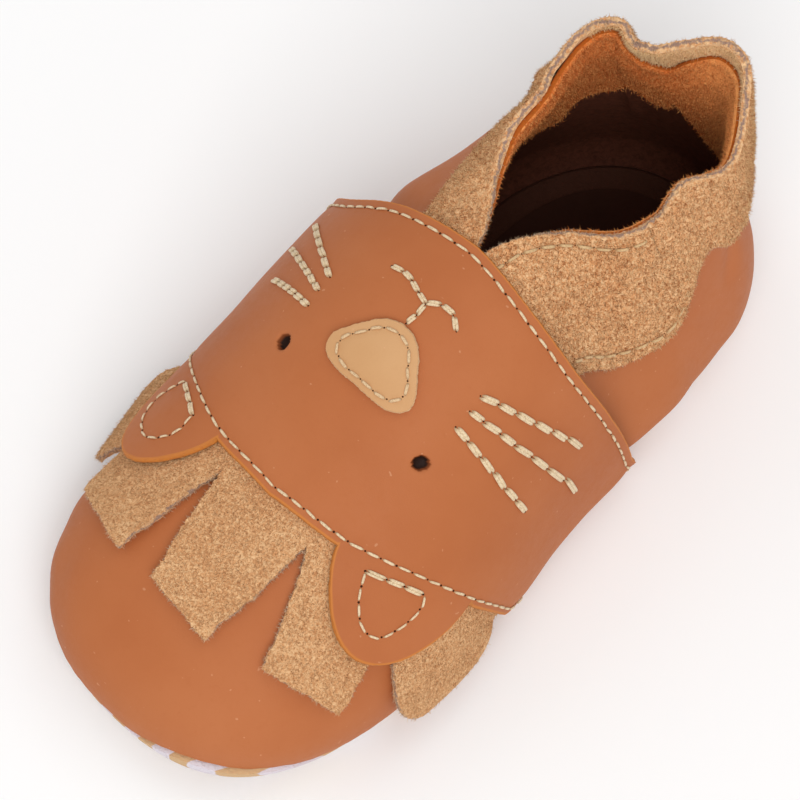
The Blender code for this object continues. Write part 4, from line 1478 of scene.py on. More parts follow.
@dataclass
class Upper:
    """The hollow upper, turned in at the seam with soft puckers round the toe and listed creases, with the
    flesh-side facing that lines its collar."""

    last: Last
    walks: int = 440
    rows: int = 74
    pucker_depth: float = 0.00005
    puckers: float = 15.0
    facing_wall: float = 0.0002
    facing_room: float = 0.00024
    facing_rows: int = 34
    roll_rows: int = 11
    facing_walks: int = 330
    facing_gap: float = 0.06
    hairs: int = 17000
    hem_hairs: float = 5000.0
    hem_waver: float = 0.020
    hang_off: float = 0.0004
    painted_light_width: float = 0.012
    walk_length: float = 0.056
    climb_length: float = 0.045

    def relief(self, walk: Array, climb: Array) -> Array:
        """How far the skin stands off the last: the sum of the creases, each a Gauss bell across
        its line and a fourth-power bell along it, and the puckers of the toe's seam.

        Args:
            walk: Places round the outline.
            climb: Places up the ribs.

        Returns:
            Stand-off in metres.
        """
        total = np.zeros(np.broadcast(walk, climb).shape)
        for crease in UPPER_CREASES:
            x = (walk - crease.walk) * self.walk_length
            y = (climb - crease.climb) * self.climb_length
            turn = math.radians(crease.turn)
            along = (x * math.cos(turn) + y * math.sin(turn)) / (crease.along * MM)
            across = (y * math.cos(turn) - x * math.sin(turn)) / (crease.across * MM)
            total = total - crease.depth * MM * np.exp(-across ** 2 - along ** 4)
        seam = table(TURNED_SEAM, "walk", "climb", walk)
        part = self.last.part(walk)
        fade = np.exp(-((climb - seam) / 0.30) ** 2) * ease((1.6 - part) / 0.6)
        wave = 0.5 + 0.5 * np.cos(2.0 * math.pi * self.puckers * part + 1.7 * np.sin(9.0 * part))
        return total - self.pucker_depth * wave * fade

    def build(self) -> list[Piece]:
        """Build and dress the upper, its facing and the facing's hair.

        Returns:
            The three pieces.
        """
        last = self.last
        walks = np.linspace(0.0, 6.0, self.walks, endpoint=False)
        seam = table(TURNED_SEAM, "walk", "climb", walks)
        edge = np.where(last.is_open(walks), table(CUFF, "walk", "lining", walks), 1.0)
        climb = seam + (edge - seam) * np.linspace(0.0, 1.0, self.rows)[:, None]
        relief = self.relief(walks, climb)
        outer = last.on_rib(walks, climb, relief)
        inner = last.on_rib(walks, climb, relief - self.thickness(walks, climb))
        wall = Wall(outer, inner, grid_quads(self.rows, self.walks, True), bulge=0.00025)
        body = dress(wall.build("upper_body"), SmoothLeather("tan_leather"), Slot.UPPER, "upper")
        return [body] + self.facing()

    def thickness(self, walk: Array, climb: Array) -> Array:
        """Thickness of the upper, skived to half of it at the collar edge.

        Args:
            walk: Places round the outline.
            climb: Places up the ribs.

        Returns:
            Thickness in metres.
        """
        edge = table(CUFF, "walk", "lining", walk)
        skived = 0.5 * ease((climb - edge + 0.10) / 0.10)
        return self.last.upper_wall * (1.0 - skived * self.last.is_open(walk))

    def facing_skin(self, walks: Array, room: float) -> Array:
        """The facing rolls over the upper's cut edge as a half circle and hangs to its hem.

        Args:
            walks: Places round the collar.
            room: How far it lies off the upper.

        Returns:
            Grid of points from the outer lip to the hem.
        """
        last = self.last
        edge = table(CUFF, "walk", "lining", walks)
        hem = table(CUFF, "walk", "hem", walks) + self.hem_waver * wander(walks, 5, 2.3, 6)
        half = 0.25 * last.upper_wall
        radius = half + room
        turn = np.linspace(0.0, math.pi, self.roll_rows)[:, None]
        drop = np.linspace(0.0, 1.0, self.facing_rows)[1:, None]
        rolled_climb = edge + radius * np.sin(turn) / self.climb_length
        climb = np.concatenate([rolled_climb, edge + (hem - edge) * drop])
        level = 0.0 * walks
        rolled = radius * np.cos(turn) - half + level
        off = (self.hang_off + 2.0 * half) * ease((edge - hem) * drop / 0.12)
        hung = -half - radius - off + level
        return last.on_rib(walks, climb, np.concatenate([rolled, hung]))

    def painted_light(self, points: Array) -> Array:
        """Share of painted light that brightens the flesh side: 0 on the far side to 1 on the near side."""
        return ease(points[..., 0] / self.painted_light_width)

    def facing(self) -> list[Piece]:
        """The flesh side just inside the collar, with hair over it and along its hem.

        Returns:
            The facing and its hair.
        """
        start, end = COLLAR[0].walk + self.facing_gap, COLLAR[-1].walk - self.facing_gap
        walks = np.linspace(start, end, self.facing_walks)
        outer = self.facing_skin(walks, self.facing_room)
        inner = self.facing_skin(walks, self.facing_room - self.facing_wall)
        rows = len(outer)
        lip = np.repeat((np.arange(rows) < 0.5 * self.roll_rows).astype(float), len(walks))
        marks = {"lip": lip, "painted_light": self.painted_light(outer)}
        wall = Wall(outer, inner, grid_quads(rows, len(walks)), bulge=0.00008, seed=3, marks=marks)
        band = dress(wall.build("collar_facing"), FleshSide("flesh_side"), Slot.UPPER)
        fuzz = Fuzz((0.00025, 0.0008), 0.00011, 0.25, 31)
        bears = 1.0 - wall.marks["lip"]
        roots, ways = fuzz.on_edge(wall.cut_edge(bears), self.hem_hairs, 0.50)
        nap_roots, nap_ways = fuzz.on_wall(wall, self.hairs, np.array([0.0, 0.0, -1.0]), 0.6, bears)
        roots, ways = np.concatenate([roots, nap_roots]), np.concatenate([ways, nap_ways])
        # Painted light: the hair on the near side is made paler.
        hair = fuzz.build("facing_hair", roots, ways, 0.4 * self.painted_light(roots))
        return [band, dress(hair, Fibre("flesh_hair", srgb(186, 88, 34), srgb(255, 180, 108)), Slot.UPPER)]


@dataclass
class AnkleCuff:
    """The gathered suede cuff round the collar, with its two rows of stitches and its fuzz."""

    upper: Upper
    front_station: float = 0.583
    walks: int = 420
    rows: int = 44
    ragged: float = 0.006
    foot_stitch_in: float = 0.052
    top_stitch_in: float = 0.085
    foot_sewn_to: float = 1.92
    top_sewn_to: float = 1.90
    stitch_lift: float = 0.00010
    stitch_sink: float = 0.0006
    held_band: float = 0.035
    least_room: float = 0.00025
    waver: float = 0.00012
    edge_fibres: float = 17000.0
    nap_fibres: int = 24000
    inner_fibres: int = 6000
    bare_walks: tuple[float, float] = (2.55, 3.50)
    bare_climbs: tuple[float, float] = (0.76, 0.99)
    top_climb: float = 0.997

    @property
    def last(self) -> Last:
        """The foot form under the upper."""
        return self.upper.last

    def span(self) -> tuple[float, float]:
        """First and last walk of the cuff.

        Returns:
            The two walks.
        """
        side = self.last.heel_station - self.last.toe_station
        start = 1.0 + (self.front_station - self.last.toe_station) / side
        return start, 6.0 - start

    def relief(self, walk: Array, climb: Array) -> Array:
        """Ridges of the gathers: Gauss bells in walk that fade out towards the foot and the rim.

        Args:
            walk: Places round the outline.
            climb: Places up the ribs.

        Returns:
            Stand-off beyond the solid's, in metres.
        """
        total = 0.0 * (walk + climb)
        for gather in CUFF_GATHERS:
            bell = np.exp(-((walk - gather.walk) / gather.spread) ** 2)
            total = total + (gather.rise if gather.rise > 0.0 else 0.5 * gather.rise) * MM * bell
        foot = table(CUFF, "walk", "foot", walk)
        fade = ease((climb - foot) / (0.6 * (1.0 - foot)))
        fade = fade * (1.0 - 0.8 * ease((climb - 0.84) / 0.14))
        return (total + self.waver * wander(walk + 0.7 * climb, 12, 3.0)) * fade

    def place(self, walk: Array, climb: Array, skin: Skin) -> Array:
        """Point of the cuff's outer or inner skin, which its seam holds down along the foot.

        Args:
            walk: Places round the outline.
            climb: Places up the ribs.
            skin: Which skin.

        Returns:
            Points.
        """
        room = np.maximum(self.last.clearance + self.relief(walk, climb), self.least_room)
        held = np.exp(-((climb - table(CUFF, "walk", "foot", walk)) / self.held_band) ** 2)
        distance = room * (1.0 - 0.9 * held) + self.upper.relief(walk, climb) + self.last.suede * skin.value
        return self.last.on_rib(walk, climb, distance)

    def foot(self, walk: Array) -> Array:
        """Climb of the cuff's lower edge, cut by hand."""
        return table(CUFF, "walk", "foot", walk) + self.ragged * wander(walk, 21, 2.7, 5)

    def top(self, walk: Array) -> Array:
        """Climb of the cuff's upper edge, cut by hand."""
        return self.top_climb + 0.7 * self.ragged * wander(walk, 22, 3.1, 5)

    def build(self) -> list[Piece]:
        """Build and dress the cuff, its fuzz, its nap and its stitches.

        Returns:
            The pieces.
        """
        walks = np.linspace(*self.span(), self.walks)
        foot, top = self.foot(walks), self.top(walks)
        climb = foot + (top - foot) * np.linspace(0.0, 1.0, self.rows)[:, None]
        outer = self.place(walks, climb, Skin.OUTER)
        inner = self.place(walks, climb, Skin.INNER)
        wall = Wall(outer, inner, grid_quads(self.rows, self.walks), bulge=0.00020, ragged=0.00014, seed=4)
        suede = Suede("cuff_nap", dark=srgb(150, 89, 50), middle=srgb(224, 158, 104), nap=0.00056)
        band = dress(wall.build("cuff_band"), suede, Slot.CUFF, "ankle_cuff")
        fuzz = Fuzz((0.00025, 0.0009), 0.00009, 0.25, 41)
        edges = fuzz.build("cuff_fuzz", *fuzz.on_edge(wall.cut_edge(), self.edge_fibres, 0.55))
        nap_fuzz = Fuzz((0.00035, 0.0009), 0.00012, 0.2, 42)
        roots, ways = nap_fuzz.on_wall(wall, self.nap_fibres, np.array([0.0, 0.0, -1.0]), 0.6)
        lip_roots, lip_ways = self.inner_nap()
        # Painted light: the nap on the bare inner face, which lies in shade under the rim, is made paler.
        painted_light_tone = np.repeat([0.0, 0.5], [len(roots), len(lip_roots)])
        roots, ways = np.concatenate([roots, lip_roots]), np.concatenate([ways, lip_ways])
        nap = nap_fuzz.build("cuff_nap_fibres", roots, ways, painted_light_tone)
        dress(edges, Fibre("cuff_fuzz"), Slot.CUFF)
        dress(nap, Fibre("cuff_fibres", srgb(180, 113, 64), srgb(255, 217, 164)), Slot.CUFF)
        return [band, edges, nap] + self.stitches()

    def inner_nap(self) -> tuple[Array, Array]:
        """Nap on the bare inner face below the rim.

        Returns:
            Roots and ways.
        """
        rng = np.random.default_rng(43)
        walk = rng.uniform(*self.bare_walks, self.inner_fibres)
        climb = rng.uniform(*self.bare_climbs, self.inner_fibres)
        ways = 0.8 * rng.normal(0.0, 1.0, (len(walk), 3)) - self.last.rib_normal(walk, climb)
        return self.place(walk, climb, Skin.INNER), unit(ways)

    def stitches(self) -> list[Piece]:
        """The rows near the top and the foot, half sunk in the nap.

        Returns:
            The thread and the holes.
        """
        seams = Seams(5)
        stitch = Stitch(0.0027, 0.84, 0.00046, 0.00040, hole=0.00012)
        start, end = self.span()
        walks = np.linspace(start + 0.02, end - 0.02, 900)
        foot, top = self.foot(walks) + self.foot_stitch_in, self.top(walks) - self.top_stitch_in
        for climb, sewn_to in ((foot, self.foot_sewn_to), (top, self.top_sewn_to)):
            lift = self.stitch_lift - self.stitch_sink * ease((walks - sewn_to) / 0.15)[:, None]
            normal = self.last.rib_normal(walks, climb)
            seams.sew(self.place(walks, climb, Skin.OUTER) + normal * lift, normal, stitch)
        twine = Twine("cuff_twine", srgb(216, 182, 134), srgb(170, 130, 86))
        # The holes' dark colour is painted shade.
        return seams.build("cuff_seam", twine, Dark("cuff_holes", srgb(120, 80, 48)), Slot.CUFF)


@dataclass
class ManeFringe:
    """The suede mane: a band under the panel's front edge with strips cut from it."""

    last: Last
    suede: Suede = Suede("mane_nap", dark=srgb(180, 121, 78), light=srgb(243, 197, 147))
    root_depth: float = 0.045
    root_show: float = -0.018
    hinge_power: float = 1.2
    columns: int = 26
    rows: int = 40
    gap_columns: int = 8
    band_rows: int = 12
    ragged: float = 0.0016
    edge_fibres: float = 15000.0
    nap_fibres: int = 19000

    def strip_places(self, strip: Strip, t: Array, across: Array, seed: int) -> tuple[Array, Array, Array]:
        """Station, girth and lift over one strip: straight lines from root to tip, the tip bowed
        and hand cut, the lift a smooth step along the strip, held down at its hinge.

        Args:
            strip: The strip's row.
            t: 0 at the root to 1 at the tip.
            across: 0 to 1 across the strip.
            seed: Seed of its cut.

        Returns:
            Station, girth and lift.
        """
        root_girth = strip.root_from + (strip.root_to - strip.root_from) * across
        tip_girth = strip.tip_from + (strip.tip_to - strip.tip_from) * across
        waver = 0.9 * wander(t, seed, 1.3, 4) * t * (2.0 * across - 1.0)
        root = table(PANEL, "girth", "front", np.abs(root_girth)) + self.root_show
        tip = strip.station_from + (strip.station_to - strip.station_from) * across
        tip = tip - strip.bow * 4.0 * across * (1.0 - across)
        tip = tip + self.ragged * wander(across, seed + 50, 2.0, 5)
        free = np.clip((t - strip.lift_from) / (1.0 - strip.lift_from), 0.0, 1.0)
        rise, swing = ease(free), 1.0
        if strip.hinge:
            rise = (1.0 - (1.0 - free) ** 6) * (1.0 + strip.early * (1.0 - free))
            swing = (across if strip.hinge < 0 else 1.0 - across) ** self.hinge_power
        girth = root_girth + (tip_girth - root_girth) * t + waver
        return root + (tip - root) * t, girth, strip.lift * rise * swing

    def wall(self) -> Wall:
        """The mane's two skins, with each strip's root row shared with the band.

        Returns:
            The wall.
        """
        spans = []
        for strip, after in zip(MANE, MANE[1:] + MANE[-1:]):
            spans.append(np.linspace(strip.root_from, strip.root_to, self.columns, endpoint=False))
            if after.root_from > strip.root_to:
                spans.append(np.linspace(strip.root_to, after.root_from, self.gap_columns, endpoint=False))
        girth = np.concatenate(spans + [[MANE[-1].root_to]])
        front = table(PANEL, "girth", "front", np.abs(girth))
        station = np.linspace(front + self.root_depth, front + self.root_show, self.band_rows)
        grids = [(station, np.broadcast_to(girth, station.shape), np.zeros_like(station))]
        t = np.linspace(0.0, 1.0, self.rows)[:, None]
        across = np.linspace(0.0, 1.0, self.columns + 1)[None, :]
        for seed, strip in enumerate(MANE):
            grids.append(self.strip_places(strip, t, across, seed + 60))
        quads, outer, inner, count = [], [], [], 0
        for station, girth, lift in grids:
            inner.append(self.last.on_arch(station, girth, self.last.clearance + lift).reshape(-1, 3))
            room = self.last.clearance + self.last.suede + lift
            outer.append(self.last.on_arch(station, girth, room).reshape(-1, 3))
            quads.append(grid_quads(*station.shape, first=count)[:, ::-1])
            count += station.size
        skins = np.concatenate(outer), np.concatenate(inner)
        return Wall(*skins, np.concatenate(quads), bulge=0.00016, ragged=0.00014, seed=6)

    def build(self) -> list[Piece]:
        """Build and dress the mane, its fuzz and its nap.

        Returns:
            The three pieces.
        """
        wall = self.wall()
        strips = dress(wall.build("mane_strips"), self.suede, Slot.MANE, "mane_fringe")
        fuzz = Fuzz((0.00025, 0.0009), 0.00009, 0.25, 51)
        edges = fuzz.build("mane_fuzz", *fuzz.on_edge(wall.cut_edge(), self.edge_fibres, 0.55))
        nap_fuzz = Fuzz((0.00030, 0.0007), 0.00011, 0.2, 52)
        roots, ways = nap_fuzz.on_wall(wall, self.nap_fibres, np.array([0.0, -0.8, -0.6]), 0.7)
        nap = nap_fuzz.build("mane_fibres", roots, ways)
        dress(edges, Fibre("mane_fuzz"), Slot.MANE)
        dress(nap, Fibre("mane_nap_fibres", srgb(190, 135, 88), srgb(248, 205, 154)), Slot.MANE)
        return [strips, edges, nap]


class Whisker(NamedTuple):
    """A whisker: its spots from the inner end outwards, its number of stitches and their growth."""

    spots: tuple[Spot, ...]
    stitches: int
    growth: float


WHISKERS = (
    Whisker((Spot(0.4840, -27.0), Spot(0.5450, -52.8)), 6, 0.5),
    Whisker((Spot(0.4660, -27.1), Spot(0.5085, -54.6)), 7, 0.6),
    Whisker((Spot(0.4470, -26.5), Spot(0.4617, -48.4)), 6, 0.3),
    Whisker((Spot(0.4930, 28.5), Spot(0.5125, 39.1), Spot(0.5385, 51.1), Spot(0.5715, 64.7)), 6, 0.4),
    Whisker((Spot(0.4735, 28.9), Spot(0.4875, 41.7), Spot(0.5110, 57.1), Spot(0.5485, 76.6)), 7, 0.9),
    Whisker((Spot(0.4520, 28.6), Spot(0.4525, 38.6), Spot(0.4560, 50.0), Spot(0.4655, 63.2)), 6, 0.2),
)
MOUTH_STEM = (Spot(0.4900, 0.0), Spot(0.5030, 0.6), Spot(0.5190, 0.5))
MOUTH_FAR = (Spot(0.5190, 0.5), Spot(0.5250, -3.8), Spot(0.5310, -8.8), Spot(0.5290, -13.9))
MOUTH_NEAR = (Spot(0.5190, 0.5), Spot(0.5280, 3.3), Spot(0.5305, 7.8), Spot(0.5200, 12.0))
EAR_NEAR = (
    Spot(0.3130, 51.2),
    Spot(0.3030, 53.5),
    Spot(0.2765, 53.3),
    Spot(0.2460, 50.2),
    Spot(0.2380, 44.6),
    Spot(0.2537, 38.3),
    Spot(0.2810, 33.8),
)
EAR_FAR = (
    Spot(0.3155, -50.3),
    Spot(0.3115, -53.4),
    Spot(0.2870, -58.9),
    Spot(0.2577, -55.2),
    Spot(0.2380, -46.0),
    Spot(0.2553, -37.3),
    Spot(0.2854, -35.6),
)
EYES = (Spot(0.4020, -25.7), Spot(0.4000, 27.3))


@dataclass
class FacePanel:
    """The tan overlay across the instep: two ears on its front edge, a free back edge, punched
    eyes, and the stitched whiskers, mouth and ear outlines."""

    last: Last
    ear_from: float = 23.5
    ear_to: float = 67.0
    ear_length: float = 0.108
    ear_skew: float = 1.6
    ear_lift: float = 0.0006
    back_lift: float = 0.0005
    back_lift_far: float = 0.0016
    taper_from: float = 100.0
    press_from: float = 52.0
    press_to: float = 74.0
    press_body: float = 0.78
    press_share: float = 0.2
    flap_depth: float = 0.010
    stitch_in: float = 0.0114
    front_stitch_in: float = 0.0088
    sewn_to: float = 112.0
    eye_radius: float = 0.00094
    eye_squeeze: float = 0.80
    eye_depth: float = 0.00090
    eye_rim: float = 1.18
    eye_slope: float = 0.36
    trough: float = 0.00014
    trough_width: float = 0.0010
    waver: float = 0.00018
    worn_band: float = 0.00050
    flap_rows: int = 26
    body_rows: int = 116
    top_columns: int = 36
    ear_columns: int = 56
    side_columns: int = 24

    def front(self, girth: Array) -> Array:
        """Station of the front edge without the ears."""
        return table(PANEL, "girth", "front", np.abs(girth))

    def back(self, girth: Array) -> Array:
        """Station of the back edge."""
        near = table(PANEL, "girth", "back_near", np.abs(girth))
        return np.where(girth > 0.0, near, table(PANEL, "girth", "back_far", np.abs(girth)))

    def bump(self, girth: Array) -> Array:
        """Forward reach of the ear, 0 to 1: a half circle skewed to the ear's outer side."""
        place = np.clip((np.abs(girth) - self.ear_from) / (self.ear_to - self.ear_from), 0.0, 1.0)
        return np.sqrt(np.clip(1.0 - (2.0 * place ** self.ear_skew - 1.0) ** 2, 0.0, 1.0))

    def ear(self, girth: Array) -> Array:
        """Station of the front edge with the ears."""
        return self.front(girth) - self.ear_length * self.bump(girth)

    def room(self, station: Array, girth: Array) -> Array:
        """Stand-off of the panel's inner skin: room for the mane, the ears' lift, the back edge's
        lift, the near edge pressed down by its seam and a taper to the upper at the sides.

        Args:
            station: Places along the last.
            girth: Girth angles.

        Returns:
            Stand-off in metres.
        """
        last = self.last
        base = self.front(girth) + self.flap_depth
        ear = self.ear(girth)
        flap = np.clip((station - ear) / (base - ear), 0.0, 1.0)
        body = np.clip((station - base) / (self.back(girth) - base), 0.0, 1.0)
        far = np.clip(-girth / self.ear_to, 0.0, 1.0)
        back_lift = self.back_lift + (self.back_lift_far - self.back_lift) * far
        lift = self.ear_lift * self.bump(girth) * (1.0 - flap) ** 2 + back_lift * body ** 2
        taper = ease((np.abs(girth) - self.taper_from) / (PANEL[-1].girth - self.taper_from))
        down = ease((girth - self.press_from) / (self.press_to - self.press_from))
        down = down * ease((body - self.press_body) / (1.0 - self.press_body))
        room = (last.clearance + last.suede + lift) * (1.0 - taper) * (1.0 - self.press_share * down)
        return last.clearance + room

    def relief(self, station: Array, girth: Array) -> Array:
        """Relief of the outer skin: Gauss troughs along the two rows of stitches and a slow,
        shallow wander of the leather.

        Args:
            station: Places along the last.
            girth: Girth angles.

        Returns:
            Stand-off beyond the solid's, in metres.
        """
        per_width = self.last.length / self.trough_width
        from_back = (station - self.back(girth) + self.stitch_in) * per_width
        from_front = (station - self.front(girth) - self.front_stitch_in) * per_width
        sewn = np.exp(-from_back ** 2) + np.exp(-from_front ** 2)
        slow = wander(girth / 60.0 + 1.3 * station, 71, 0.9, 3)
        slow = slow * wander(station * 3.0 - girth / 90.0, 72, 1.1, 3)
        return self.waver * slow - self.trough * sewn

    def pit(self, station: Array, girth: Array) -> Array:
        """How deep in an eye hole a place is, a smooth step of its distance from the eye's middle.

        Args:
            station: Places along the last.
            girth: Girth angles.

        Returns:
            0 on the leather to 1 at the hole's bottom.
        """
        total = np.zeros(np.broadcast(station, girth).shape)
        squeeze = np.array([1.0, self.eye_squeeze, 1.0])
        for eye in EYES:
            middle = self.last.arch_point(np.array(eye.station), np.array(eye.girth))
            away = np.linalg.norm((self.last.arch_point(station, girth) - middle) * squeeze, axis=-1)
            total = np.maximum(total, ease((self.eye_rim - away / self.eye_radius) / self.eye_slope))
        return total

    def worn(self, station: Array, girth: Array) -> Array:
        """How near a place is to an edge: 1 on the front one, less on the back one, 0 a worn band's
        width away. The distance along the last is turned into one across the front edge by its slope.

        Args:
            station: Places along the last.
            girth: Girth angles.

        Returns:
            Nearness, 0 to 1.
        """
        length = self.last.length
        edge = self.ear(girth) * length
        slope = np.clip(np.gradient(edge[0], np.radians(girth[0]) * 0.5 * self.last.ball_width), -3.0, 3.0)
        front = (station * length - edge) / np.sqrt(1.0 + slope ** 2)
        back = (self.back(girth) - station) * length
        on_front = 1.0 - ease(front / self.worn_band)
        return np.maximum(on_front, 0.9 - 0.9 * ease(1.4 * back / self.worn_band))

    def place(self, station: Array, girth: Array) -> Array:
        """Point of the panel's outer skin, without the eye holes."""
        distance = self.room(station, girth) + self.last.face_leather + self.relief(station, girth)
        return self.last.on_arch(station, girth, distance)

    def girths(self) -> Array:
        """Girth angles across the panel, closer together over the ears.

        Returns:
            Rising angles.
        """
        ear = 0.5 - 0.5 * np.cos(np.linspace(0.0, math.pi, self.ear_columns, endpoint=False))
        top = np.linspace(0.0, self.ear_from, self.top_columns, endpoint=False)
        over_ear = self.ear_from + (self.ear_to - self.ear_from) * ear ** (1.0 / self.ear_skew)
        side = np.linspace(self.ear_to, PANEL[-1].girth, self.side_columns)
        near = np.concatenate([top, over_ear, side])
        return np.concatenate([-near[:0:-1], near])

    def build(self) -> list[Piece]:
        """Build and dress the panel and its stitching.

        Returns:
            The pieces.
        """
        girth = self.girths()
        ear, back = self.ear(girth), self.back(girth)
        base = self.front(girth) + self.flap_depth
        flap = np.linspace(0.0, 1.0, self.flap_rows, endpoint=False)[:, None]
        body = np.linspace(0.0, 1.0, self.body_rows)[:, None]
        station = np.concatenate([ear + (base - ear) * flap, base + (back - base) * body])
        girths = np.broadcast_to(girth, station.shape)
        pit = self.pit(station, girths)
        room, relief = self.room(station, girths), self.relief(station, girths)
        distance = room + self.last.face_leather + relief - self.eye_depth * pit
        outer = self.last.on_arch(station, girths, distance)
        inner = self.last.on_arch(station, girths, room)
        quads = grid_quads(*station.shape)
        marks = {"pit": pit, "worn": self.worn(station, girths)}
        wall = Wall(outer, inner, quads, bulge=0.00024, ragged=0.00004, seed=8, marks=marks)
        panel = wall.build("face_overlay")
        return [dress(panel, SmoothLeather("face_tan"), Slot.FACE, "face_panel")] + self.stitches()

    def row(self, spots: Sequence[Spot], samples: int = 160) -> tuple[Array, Array]:
        """Smooth row through spots on the panel.

        Args:
            spots: Spots along the row.
            samples: Number of points.

        Returns:
            Points and normals.
        """
        places = np.linspace(0.0, 1.0, len(spots))
        t = np.linspace(0.0, 1.0, samples)
        station = smooth(t, places, column(spots, "station"))
        girth = smooth(t, places, column(spots, "girth"))
        return self.place(station, girth), self.last.arch_normal(station, girth)

    def stitches(self) -> list[Piece]:
        """Rows along the front and back edges, whiskers, mouth and ear outlines.

        Returns:
            Threads and holes of the fine rows and of the thick lines.
        """
        seams, thick = Seams(9), Seams(10)
        fine = Stitch(0.0026, 0.84, 0.00039, 0.00030)
        outline = Stitch(0.0023, 0.82, 0.00036, 0.00028)
        double = Stitch(0.0038, 0.96, 0.00056, 0.00044, 2, 0.00046, 0.00015, 0.55)
        mouth = Stitch(0.0020, 0.97, 0.00045, 0.00042, 2, 0.00038, 0.00014, 0.5)
        base = Stitch(0.0029, 0.95, 0.00044, 0.00040, 2, 0.00040, 0.00016, 0.5)
        girth = np.linspace(-self.sewn_to, self.sewn_to, 900)
        for station in (self.back(girth) - self.stitch_in, self.front(girth) + self.front_stitch_in):
            seams.sew(self.place(station, girth), self.last.arch_normal(station, girth), fine)
        for ear in (EAR_NEAR, EAR_FAR):
            seams.sew(*self.row(ear), outline)
            thick.sew(*self.row((ear[-1], ear[0])), base)
        for whisker in WHISKERS:
            grown = replace(double, growth=whisker.growth)
            thick.sew(*self.row(whisker.spots), grown, count=whisker.stitches)
        for line in (MOUTH_STEM, MOUTH_FAR, MOUTH_NEAR):
            thick.sew(*self.row(line), mouth)
        pieces = []
        for rows, name in ((seams, "face_seam"), (thick, "face_lines")):
            pieces += rows.build(name, Twine(name + "_twine"), Dark(name + "_holes"), Slot.FACE)
        return pieces


@dataclass
class NosePatch:
    """The light nose: a rounded triangle sewn on the panel, its edge drawn in by the stitches."""

    panel: FacePanel
    station: float = 0.4440
    girth: float = 1.3
    long: float = 0.0045
    wide: float = 0.0060
    roundness: float = 0.0255
    corner: float = 0.14
    columns: int = 150
    rings: int = 34
    stitch_in: float = 0.78
    scallop: float = 0.012
    crown: float = 0.00020
    dip: float = 0.00012
    dip_width: float = 0.10

    def spot(self, turn: Array, share: Array) -> tuple[Array, Array]:
        """Spot at a turn round the nose and a share of its radius, which is 1 plus corner times the
        cosine of three turns, with a faint scallop at the edge.

        Args:
            turn: Turns round the nose.
            share: Shares of the radius.

        Returns:
            Station and girth.
        """
        scallop = self.scallop * wander(turn / (2.0 * math.pi), 91, 6.0, 3) * share ** 6
        out = share * (1.0 + self.corner * np.cos(3.0 * turn) + scallop)
        station = self.station + out * np.cos(turn) * self.long / self.panel.last.length
        return station, self.girth + np.degrees(out * np.sin(turn) * self.wide / self.roundness)

    def height(self, share: Array) -> Array:
        """Stand-off beyond the thickness: a soft crown that dips along the stitches."""
        dip = self.dip * np.exp(-((share - self.stitch_in) / self.dip_width) ** 2)
        return self.crown * (1.0 - share ** 2) - dip

    def place(self, turn: Array, share: Array, lift: Array) -> Array:
        """Point over the panel's skin.

        Args:
            turn: Turns round the nose.
            share: Shares of the radius.
            lift: Stand-off from the nose's inner skin.

        Returns:
            Points.
        """
        last = self.panel.last
        base = 3.0 * last.clearance + last.suede + last.face_leather
        return last.on_arch(*self.spot(turn, share), base + lift)

    def build(self) -> list[Piece]:
        """Build and dress the nose and its stitches.

        Returns:
            The pieces.
        """
        last = self.panel.last
        turn = np.linspace(0.0, 2.0 * math.pi, self.columns, endpoint=False)[None, :]
        share = np.linspace(1.0, 0.0, self.rings)[:, None]
        outer = self.place(turn, share, last.nose_leather + self.height(share))
        inner = self.place(turn, share, 0.0 * share)
        quads = grid_quads(self.rings, self.columns, True)[:, ::-1]
        wall = Wall(outer, inner, quads, bulge=0.00020, ragged=0.00005, seed=11)
        tones = srgb(208, 159, 111), srgb(202, 151, 103), srgb(215, 168, 121), srgb(233, 203, 160)
        light = SmoothLeather("nose_leather", *tones)
        patch = dress(wall.build("nose_overlay"), light, Slot.NOSE, "nose_patch")
        seams = Seams(12)
        turns = np.linspace(0.0, 2.0 * math.pi, 400)
        share = np.full_like(turns, self.stitch_in)
        path = self.place(turns, share, last.nose_leather + self.height(share))
        stitch = Stitch(0.0023, 0.86, 0.00044, 0.00032, hole=0.00014)
        seams.sew(path, last.arch_normal(*self.spot(turns, share)), stitch, True)
        twine = Twine("nose_twine", srgb(226, 194, 152), srgb(160, 122, 80))
        # The holes' dark colour is painted shade.
        return [patch] + seams.build("nose_seam", twine, Dark("nose_holes", srgb(96, 62, 36)), Slot.NOSE)


class Lamp(NamedTuple):
    """A square soft light: its name, where it hangs, the length of its side and its watts."""

    name: str
    place: tuple[float, float, float]
    size: float
    power: float


LAMPS = (
    Lamp("key", (1.10, -1.00, 1.80), 1.4, 26.6),
    Lamp("fill", (-1.40, -0.20, 1.40), 1.4, 2.6),
    Lamp("top", (0.20, 0.70, 2.10), 1.6, 6.8),
)


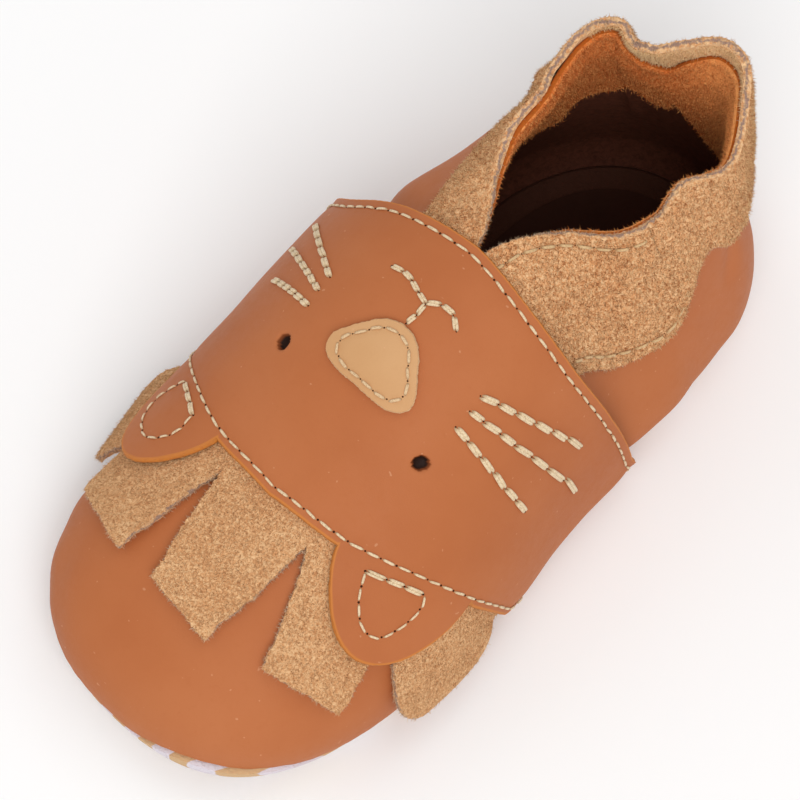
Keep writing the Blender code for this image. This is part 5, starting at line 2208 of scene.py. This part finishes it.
@dataclass
class Studio:
    """Pale floor, soft light and the camera at the photograph's angle."""

    azimuth: float = 43.74
    elevation: float = 65.0
    distance: float = 0.896
    focal_pixels: float = 6264.0
    image_pixels: float = 800.0
    sensor: float = 36.0
    target: tuple[float, float, float] = (-0.00169, -0.00148, 0.020)
    floor_reach: float = 4.0
    floor_level: float = -0.0001
    world_strength: float = 0.53

    @staticmethod
    def hang(name: str, data: bpy.types.ID, right: Array, back: Array, place: Array) -> Piece:
        """Put a camera or a light into the scene, looking against back.

        Args:
            name: Name of the object.
            data: The camera or the light.
            right: Unit vector to its right.
            back: Unit vector behind it.
            place: Where it hangs.

        Returns:
            The object.
        """
        hung = bpy.data.objects.new(name, data)
        bpy.context.scene.collection.objects.link(hung)
        turned = np.eye(4)
        turned[:3] = np.stack([right, np.cross(back, right), back, place], axis=1)
        hung.matrix_world = Matrix(turned.tolist())
        return hung

    def camera(self) -> None:
        """Place the camera."""
        a, e = math.radians(self.azimuth), math.radians(self.elevation)
        back = np.array([math.sin(a) * math.cos(e), -math.cos(a) * math.cos(e), math.sin(e)])
        right = np.array([math.cos(a), math.sin(a), 0.0])
        data = bpy.data.cameras.new("photo_camera")
        data.sensor_width = self.sensor
        data.lens = self.focal_pixels * self.sensor / self.image_pixels
        data.clip_start = 0.01
        data.clip_end = 20.0
        place = np.array(self.target) + back * self.distance
        bpy.context.scene.camera = self.hang("photo_camera", data, right, back, place)

    def light(self, lamp: Lamp) -> None:
        """Add a soft light that faces the slipper.

        Args:
            lamp: The light's row.
        """
        data = bpy.data.lights.new(lamp.name, "AREA")
        data.size = lamp.size
        data.energy = lamp.power
        back = unit(np.array(lamp.place) - np.array(self.target))
        right = unit(np.cross([0.0, 1.0, 0.0], back))
        self.hang(lamp.name, data, right, back, np.array(lamp.place))

    def floor(self) -> None:
        """Lay a flat pale floor just under the sole."""
        reach = np.linspace(-self.floor_reach, self.floor_reach, 9)
        x, y = np.meshgrid(reach, reach)
        points = np.stack([x.ravel(), y.ravel(), np.full(x.size, self.floor_level)], axis=1)
        floor = add_mesh("floor", points, grid_quads(len(reach), len(reach)), {})
        recipe = Recipe("pale_floor")
        recipe.set(Base_Color=(0.98, 0.98, 0.98), Roughness=0.8, Specular_IOR_Level=0.1)
        floor.data.materials.append(recipe.material)

    def build(self) -> None:
        """Set up floor, lights, world and camera."""
        self.floor()
        for lamp in LAMPS:
            self.light(lamp)
        world = bpy.data.worlds.new("soft_world")
        world.use_nodes = True
        sockets = world.node_tree.nodes["Background"].inputs
        sockets["Color"].default_value = (1.0, 1.0, 1.0, 1.0)
        sockets["Strength"].default_value = self.world_strength
        bpy.context.scene.world = world
        bpy.context.scene.view_settings.view_transform = "Standard"
        self.camera()


def main() -> None:
    """Build every sub-assembly in order and report its pieces."""
    logging.basicConfig(level=logging.INFO, format="%(message)s")
    last = Last()
    panel = FacePanel(last)
    upper = Upper(last)
    parts = (Sole(last), upper, AnkleCuff(upper), ManeFringe(last), panel, NosePatch(panel))
    for part in parts:
        for piece in part.build():
            LOG.info("%s: %d faces", piece.name, len(piece.data.polygons))
    Studio().build()


if __name__ == "__main__":
    main()
